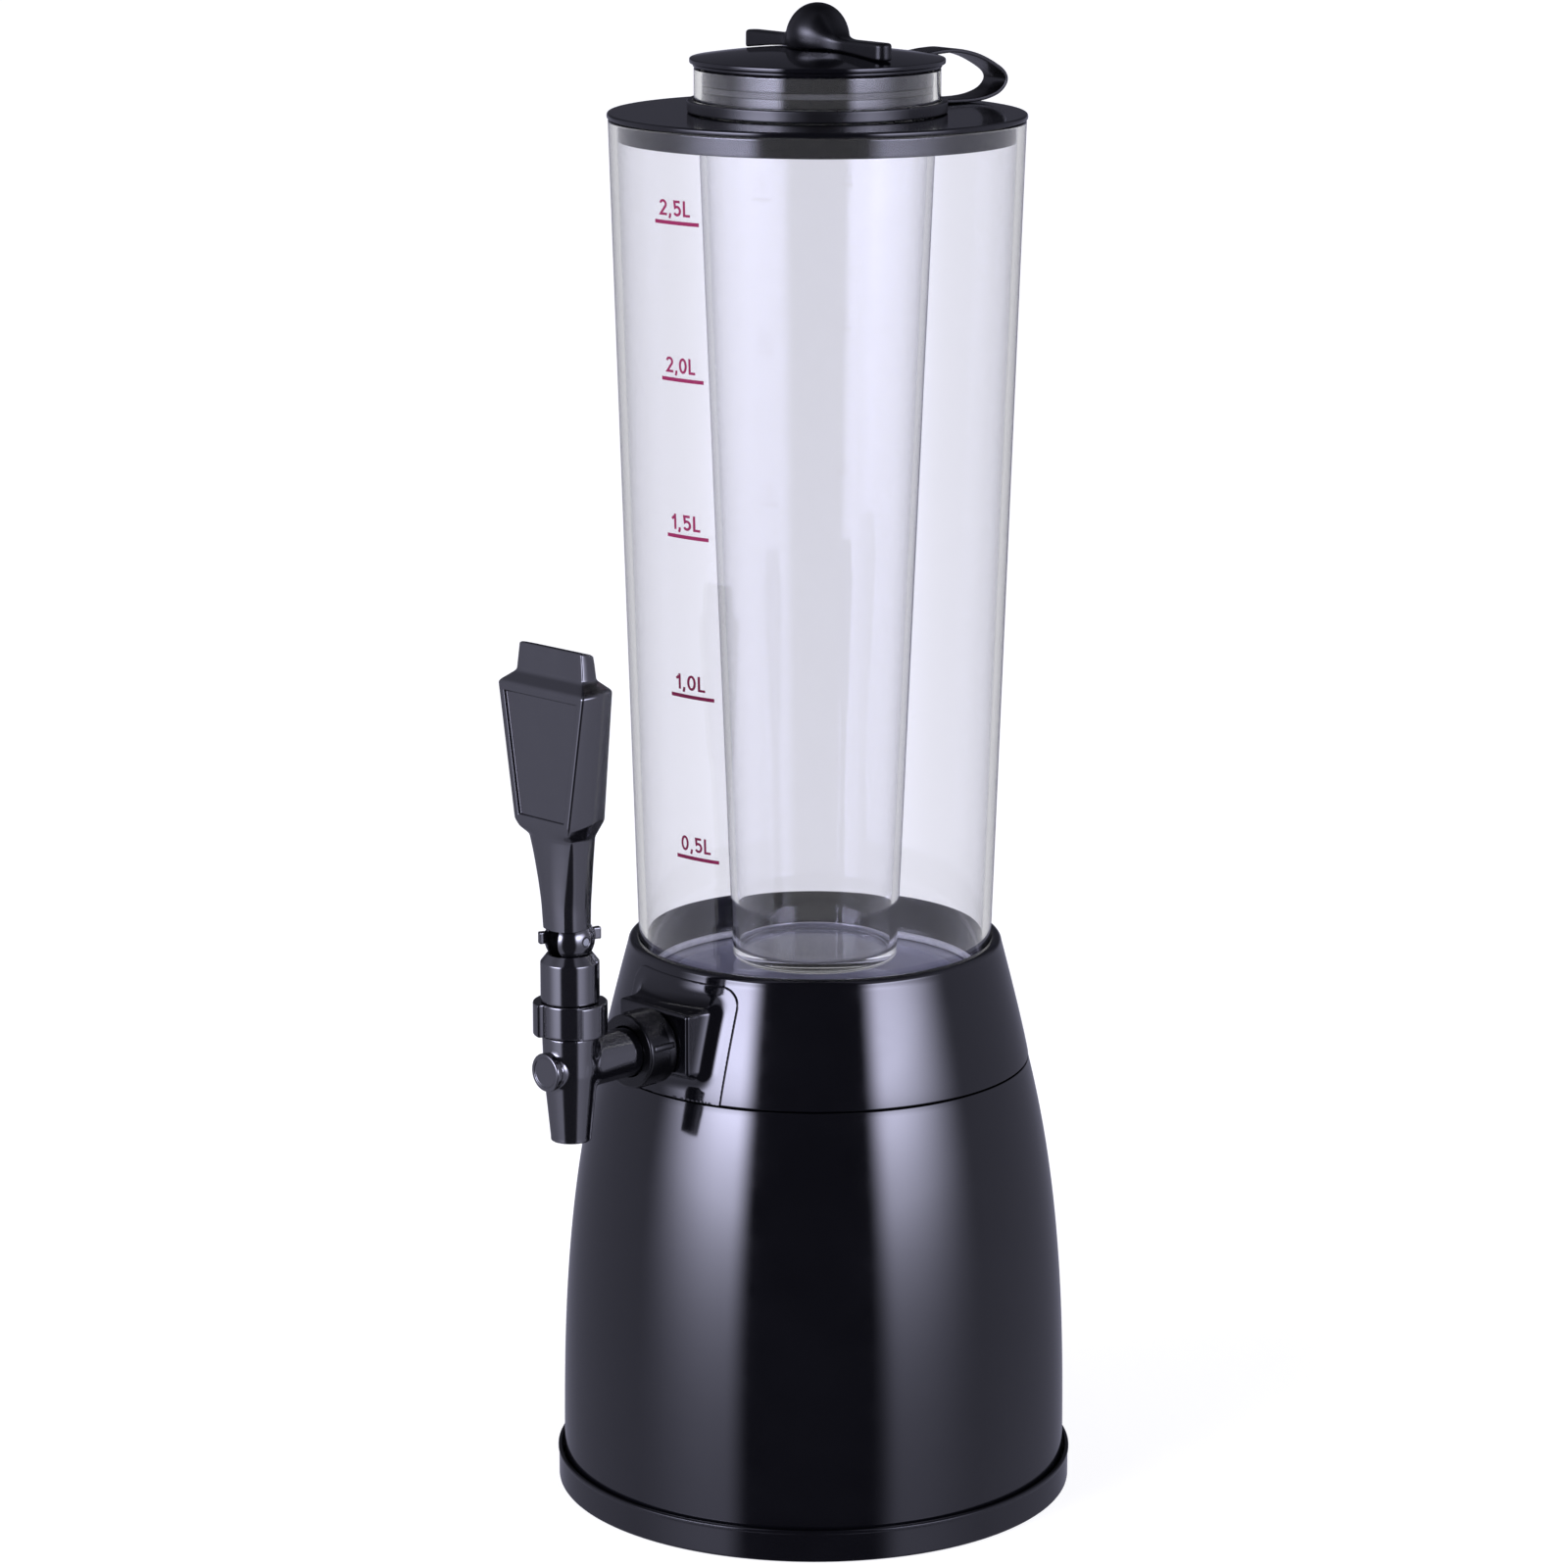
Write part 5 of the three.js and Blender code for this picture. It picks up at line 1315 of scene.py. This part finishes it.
class TOWER_OT_tap(bpy.types.Operator):
    """Make the tap from its union nut to its bonnet"""

    bl_idname = "tower.tap"
    bl_label = "Tap"

    def execute(self, context):
        nut, rib = union_nut_shape(128)
        ribbed = repeated("ribbed_union_nut", rib, nut, 4, 12.0, math.radians(13), "nut")
        ribbed.data.transform(Matrix.Translation((0, 0, TAP_HEIGHT * MM)) @ LAID_DOWN)
        on_body(ribbed, "tower", ["union_nut"])
        axis = Matrix.Translation((0, -TAP_REACH, TAP_HEIGHT))
        body = moved(moulded(tap_body_field, (-10.6, -9.9, -26), (10.6, 30, 17), MOULD_CELL), axis)
        finished("tap_barrel", body, "tap", "tower", ["tap_body"], 50)
        for name, shape, node in (
            ("front_plug_head", outward(plug_shape(), TAP_REACH), "front_plug"),
            ("lugged_bonnet_nut", moved(bonnet_nut_shape(), axis), "bonnet_nut"),
            ("bonnet_with_cup", moved(bonnet_shape(), axis), "bonnet"),
        ):
            finished(name, shape, "tap", "tower", [node])
        dressed("seals", "shank_washer", "bonnet_seal")
        dressed("rubber", "plug_seal", "stem_seal", "valve_washer")
        dressed("tap", "valve_stem")
        dressed("steel", "pivot_pin")
        return {"FINISHED"}


class TOWER_OT_lever(bpy.types.Operator):
    """Make the lever with its paddle, stem and slotted ball"""

    bl_idname = "tower.lever"
    bl_label = "Lever"

    def execute(self, context):
        pivot = Matrix.Translation((0, -TAP_REACH, TAP_HEIGHT + PIVOT_RISE))
        foot = moulded(lever_foot_field, (-9.5, -12, -9.5), (9.5, 12, 9.5), FINE_CELL)
        handle = lever_handle_shape(context.scene.tower_sizes.lever_edge / MM)
        shape = moved(joined(handle, foot), pivot)
        finished("paddle_lever", shape, "lever", "lever", ["lever"], 42)
        return {"FINISHED"}


def studio_world(settings):
    """White to look at, and for reflections a dark front strip between two bright fields that fade."""
    world = bpy.data.worlds.new("studio")
    world.use_nodes = True
    tree = world.node_tree
    tree.nodes.clear()
    add, _, multiply = arithmetic(tree)
    calculated = partial(math_node, tree)
    place = add_node(tree, "ShaderNodeTexCoord").outputs["Generated"]
    inputs = {"Vector": place, "Angle": math.radians(45)}
    facing = add_node(tree, "ShaderNodeVectorRotate", {"rotation_type": "Z_AXIS"}, inputs)
    spot = add_node(tree, "ShaderNodeSeparateXYZ", inputs={0: facing.outputs[0]}).outputs
    turn = calculated("ARCTAN2", spot[1], spot[0])
    aside = calculated("ABSOLUTE", turn)
    rise = calculated("ARCSINE", spot[2])

    def eased(source, start, end, low, high):
        """A smooth step between two angles in degrees."""
        inputs = {"Value": source, "From Min": math.radians(start), "From Max": math.radians(end)}
        inputs.update({"To Min": low, "To Max": high})
        return add_node(tree, "ShaderNodeMapRange", {"interpolation_type": "SMOOTHSTEP"}, inputs).outputs[0]

    # The fields are brightest a little above the horizon, and fade towards the foot
    upper = multiply(calculated("MINIMUM", rise, math.radians(9)), 4.6)
    lower = multiply(calculated("MINIMUM", rise, 0.0), 3.0)
    # Strength from left to right, fades down and up, edges of the dark strip, and both outer edges
    fields = multiply(
        eased(turn, -20, 20, settings.left_light, settings.right_light),
        calculated("EXPONENT", add(upper, lower, -0.7226)),
        eased(rise, 9, 26, 1.0, 0.02),
        add(eased(turn, -41, -28.5, 1.0, 0.0), eased(turn, 25.5, 39, 0.0, 1.0)),
        eased(turn, -90, -46, 0.0, 1.0),
        eased(turn, 41, 86, 1.0, 0.0),
    )
    sides = multiply(eased(aside, 30, 42, 0.0, 1.0), eased(aside, 80, 150, 0.52, 0.27))
    behind = multiply(eased(aside, 125, 160, 0.0, 1.0), eased(rise, -3, 6, 0.0, 1.0))
    room = multiply(sides, eased(behind, 0, 57.3, 1.0, 0.15), eased(rise, 30, 60, 1.0, 0.3))
    light = {"Color": (*linear("#e1e1ff"), 1), "Strength": add(fields, room, 0.04)}
    studio = add_node(tree, "ShaderNodeBackground", inputs=light)
    # What passes through clear walls sees white, and what is reflected inside a wall sees a softer white
    path = add_node(tree, "ShaderNodeLightPath").outputs
    unturned = calculated("LESS_THAN", path["Glossy Depth"], 0.5)
    white = multiply(calculated("MAXIMUM", unturned, 0.84), settings.world_light)
    plain = add_node(tree, "ShaderNodeBackground", inputs={"Color": (1, 1, 1, 1), "Strength": white})
    inside = calculated("COMPARE", calculated("MODULO", path["Transmission Depth"], 4.0), 2.0, 0.5)
    through = multiply(path["Is Transmission Ray"], calculated("MAXIMUM", unturned, inside))
    seen = calculated("MAXIMUM", path["Is Camera Ray"], through)
    mixed = add_node(tree, "ShaderNodeMixShader", inputs={0: seen, 1: studio.outputs[0], 2: plain.outputs[0]})
    add_node(tree, "ShaderNodeOutputWorld", inputs={"Surface": mixed.outputs[0]})
    return world


def pale_floor(size):
    """A matt pale floor with a little light of its own, which reflections don't see."""
    material, tree = tree_of("pale_floor")
    inputs = {
        "IOR": 1.3,
        "Roughness": 0.9,
        "Emission Color": (1, 1, 1, 1),
        "Emission Strength": 0.86,
        "Base Color": toned(tree, speckle(tree, 400), (0.38, 0.38, 0.38), (0.42, 0.42, 0.42)),
    }
    matt = add_node(tree, "ShaderNodeBsdfPrincipled", inputs=inputs).outputs[0]
    path = add_node(tree, "ShaderNodeLightPath").outputs
    reflected = math_node(tree, "GREATER_THAN", path["Glossy Depth"], 0.5)
    hidden = add_node(tree, "ShaderNodeBsdfTransparent").outputs[0]
    surface = add_node(tree, "ShaderNodeMixShader", inputs={0: reflected, 1: matt, 2: hidden}).outputs[0]
    add_node(tree, "ShaderNodeOutputMaterial", inputs={"Surface": surface})
    half = size / 2
    mesh = bpy.data.meshes.new("floor")
    corners = [(-half, -half, 0), (half, -half, 0), (half, half, 0), (-half, half, 0)]
    mesh.from_pydata(corners, [], [[0, 1, 2, 3]])
    mesh.materials.append(material)
    ground = bpy.data.objects.new("floor", mesh)
    bpy.context.scene.collection.objects.link(ground)
    ground.visible_shadow = False


class TOWER_OT_stage(bpy.types.Operator):
    """Set the floor, the lights and the camera"""

    bl_idname = "tower.stage"
    bl_label = "Stage"

    def execute(self, context):
        scene = context.scene
        settings = scene.tower_stage
        camera = bpy.data.objects.new("camera", bpy.data.cameras.new("camera"))
        scene.collection.objects.link(camera)
        camera.location = (1.2106, -1.2106, 0.644)
        camera.rotation_euler = (math.radians(77.02), math.radians(-0.17), math.radians(45))
        camera.data.lens = 117.25
        camera.data.sensor_width = 36
        camera.data.shift_x = -0.0222
        camera.data.shift_y = 0.0006
        camera.data.clip_end = 200
        scene.camera = camera

        pale_floor(settings.floor_size)
        scene.world = studio_world(settings)
        scene.view_settings.view_transform = "Standard"

        # Softboxes that light the matt surfaces: turn from the camera's direction, distance, size, radiance
        for name, turn, distance, size, radiance in (
            ("softbox_left", -50, 1.9, 1.2, 1.8),
            ("softbox_right", 50, 1.9, 1.2, 1.3),
        ):
            light = bpy.data.lights.new(name, "AREA")
            light.size = size
            light.energy = radiance * size * size * math.pi
            lamp = bpy.data.objects.new(name, light)
            scene.collection.objects.link(lamp)
            angle = math.radians(-45 + turn)
            lamp.location = (distance * math.cos(angle), distance * math.sin(angle), 1.3)
            aim = Vector((0, 0, 0.25)) - Vector(lamp.location)
            lamp.rotation_euler = aim.to_track_quat("-Z", "Y").to_euler()
            lamp.visible_camera = False
            lamp.visible_glossy = False
        return {"FINISHED"}


class VIEW3D_PT_tower(bpy.types.Panel):
    """Sizes, colours and steps of the drinks tower"""

    bl_label = "Drinks Tower"
    bl_space_type = "VIEW_3D"
    bl_region_type = "UI"
    bl_category = "Tower"

    def draw(self, context):
        for title, group in (
            ("Sizes", context.scene.tower_sizes),
            ("Colours", context.scene.tower_colours),
            ("Stage", context.scene.tower_stage),
        ):
            column = self.layout.column(heading=title)
            for name in group.__annotations__:
                column.prop(group, name)
        for step in steps:
            self.layout.operator(step.bl_idname)


steps = (
    TOWER_OT_base,
    TOWER_OT_casing,
    TOWER_OT_tank,
    TOWER_OT_marks,
    TOWER_OT_lid,
    TOWER_OT_cap,
    TOWER_OT_tap,
    TOWER_OT_lever,
    TOWER_OT_stage,
)
classes = (TowerSizes, TowerColours, TowerStage, *steps, VIEW3D_PT_tower)


def register():
    for made in classes:
        bpy.utils.register_class(made)
    bpy.types.Scene.tower_sizes = bpy.props.PointerProperty(type=TowerSizes)
    bpy.types.Scene.tower_colours = bpy.props.PointerProperty(type=TowerColours)
    bpy.types.Scene.tower_stage = bpy.props.PointerProperty(type=TowerStage)


def unregister():
    del bpy.types.Scene.tower_stage
    del bpy.types.Scene.tower_colours
    del bpy.types.Scene.tower_sizes
    for made in reversed(classes):
        bpy.utils.unregister_class(made)


def main():
    register()
    make_finishes()
    for step in steps:
        group, name = step.bl_idname.split(".")
        getattr(getattr(bpy.ops, group), name)()


if __name__ == "__main__":
    main()
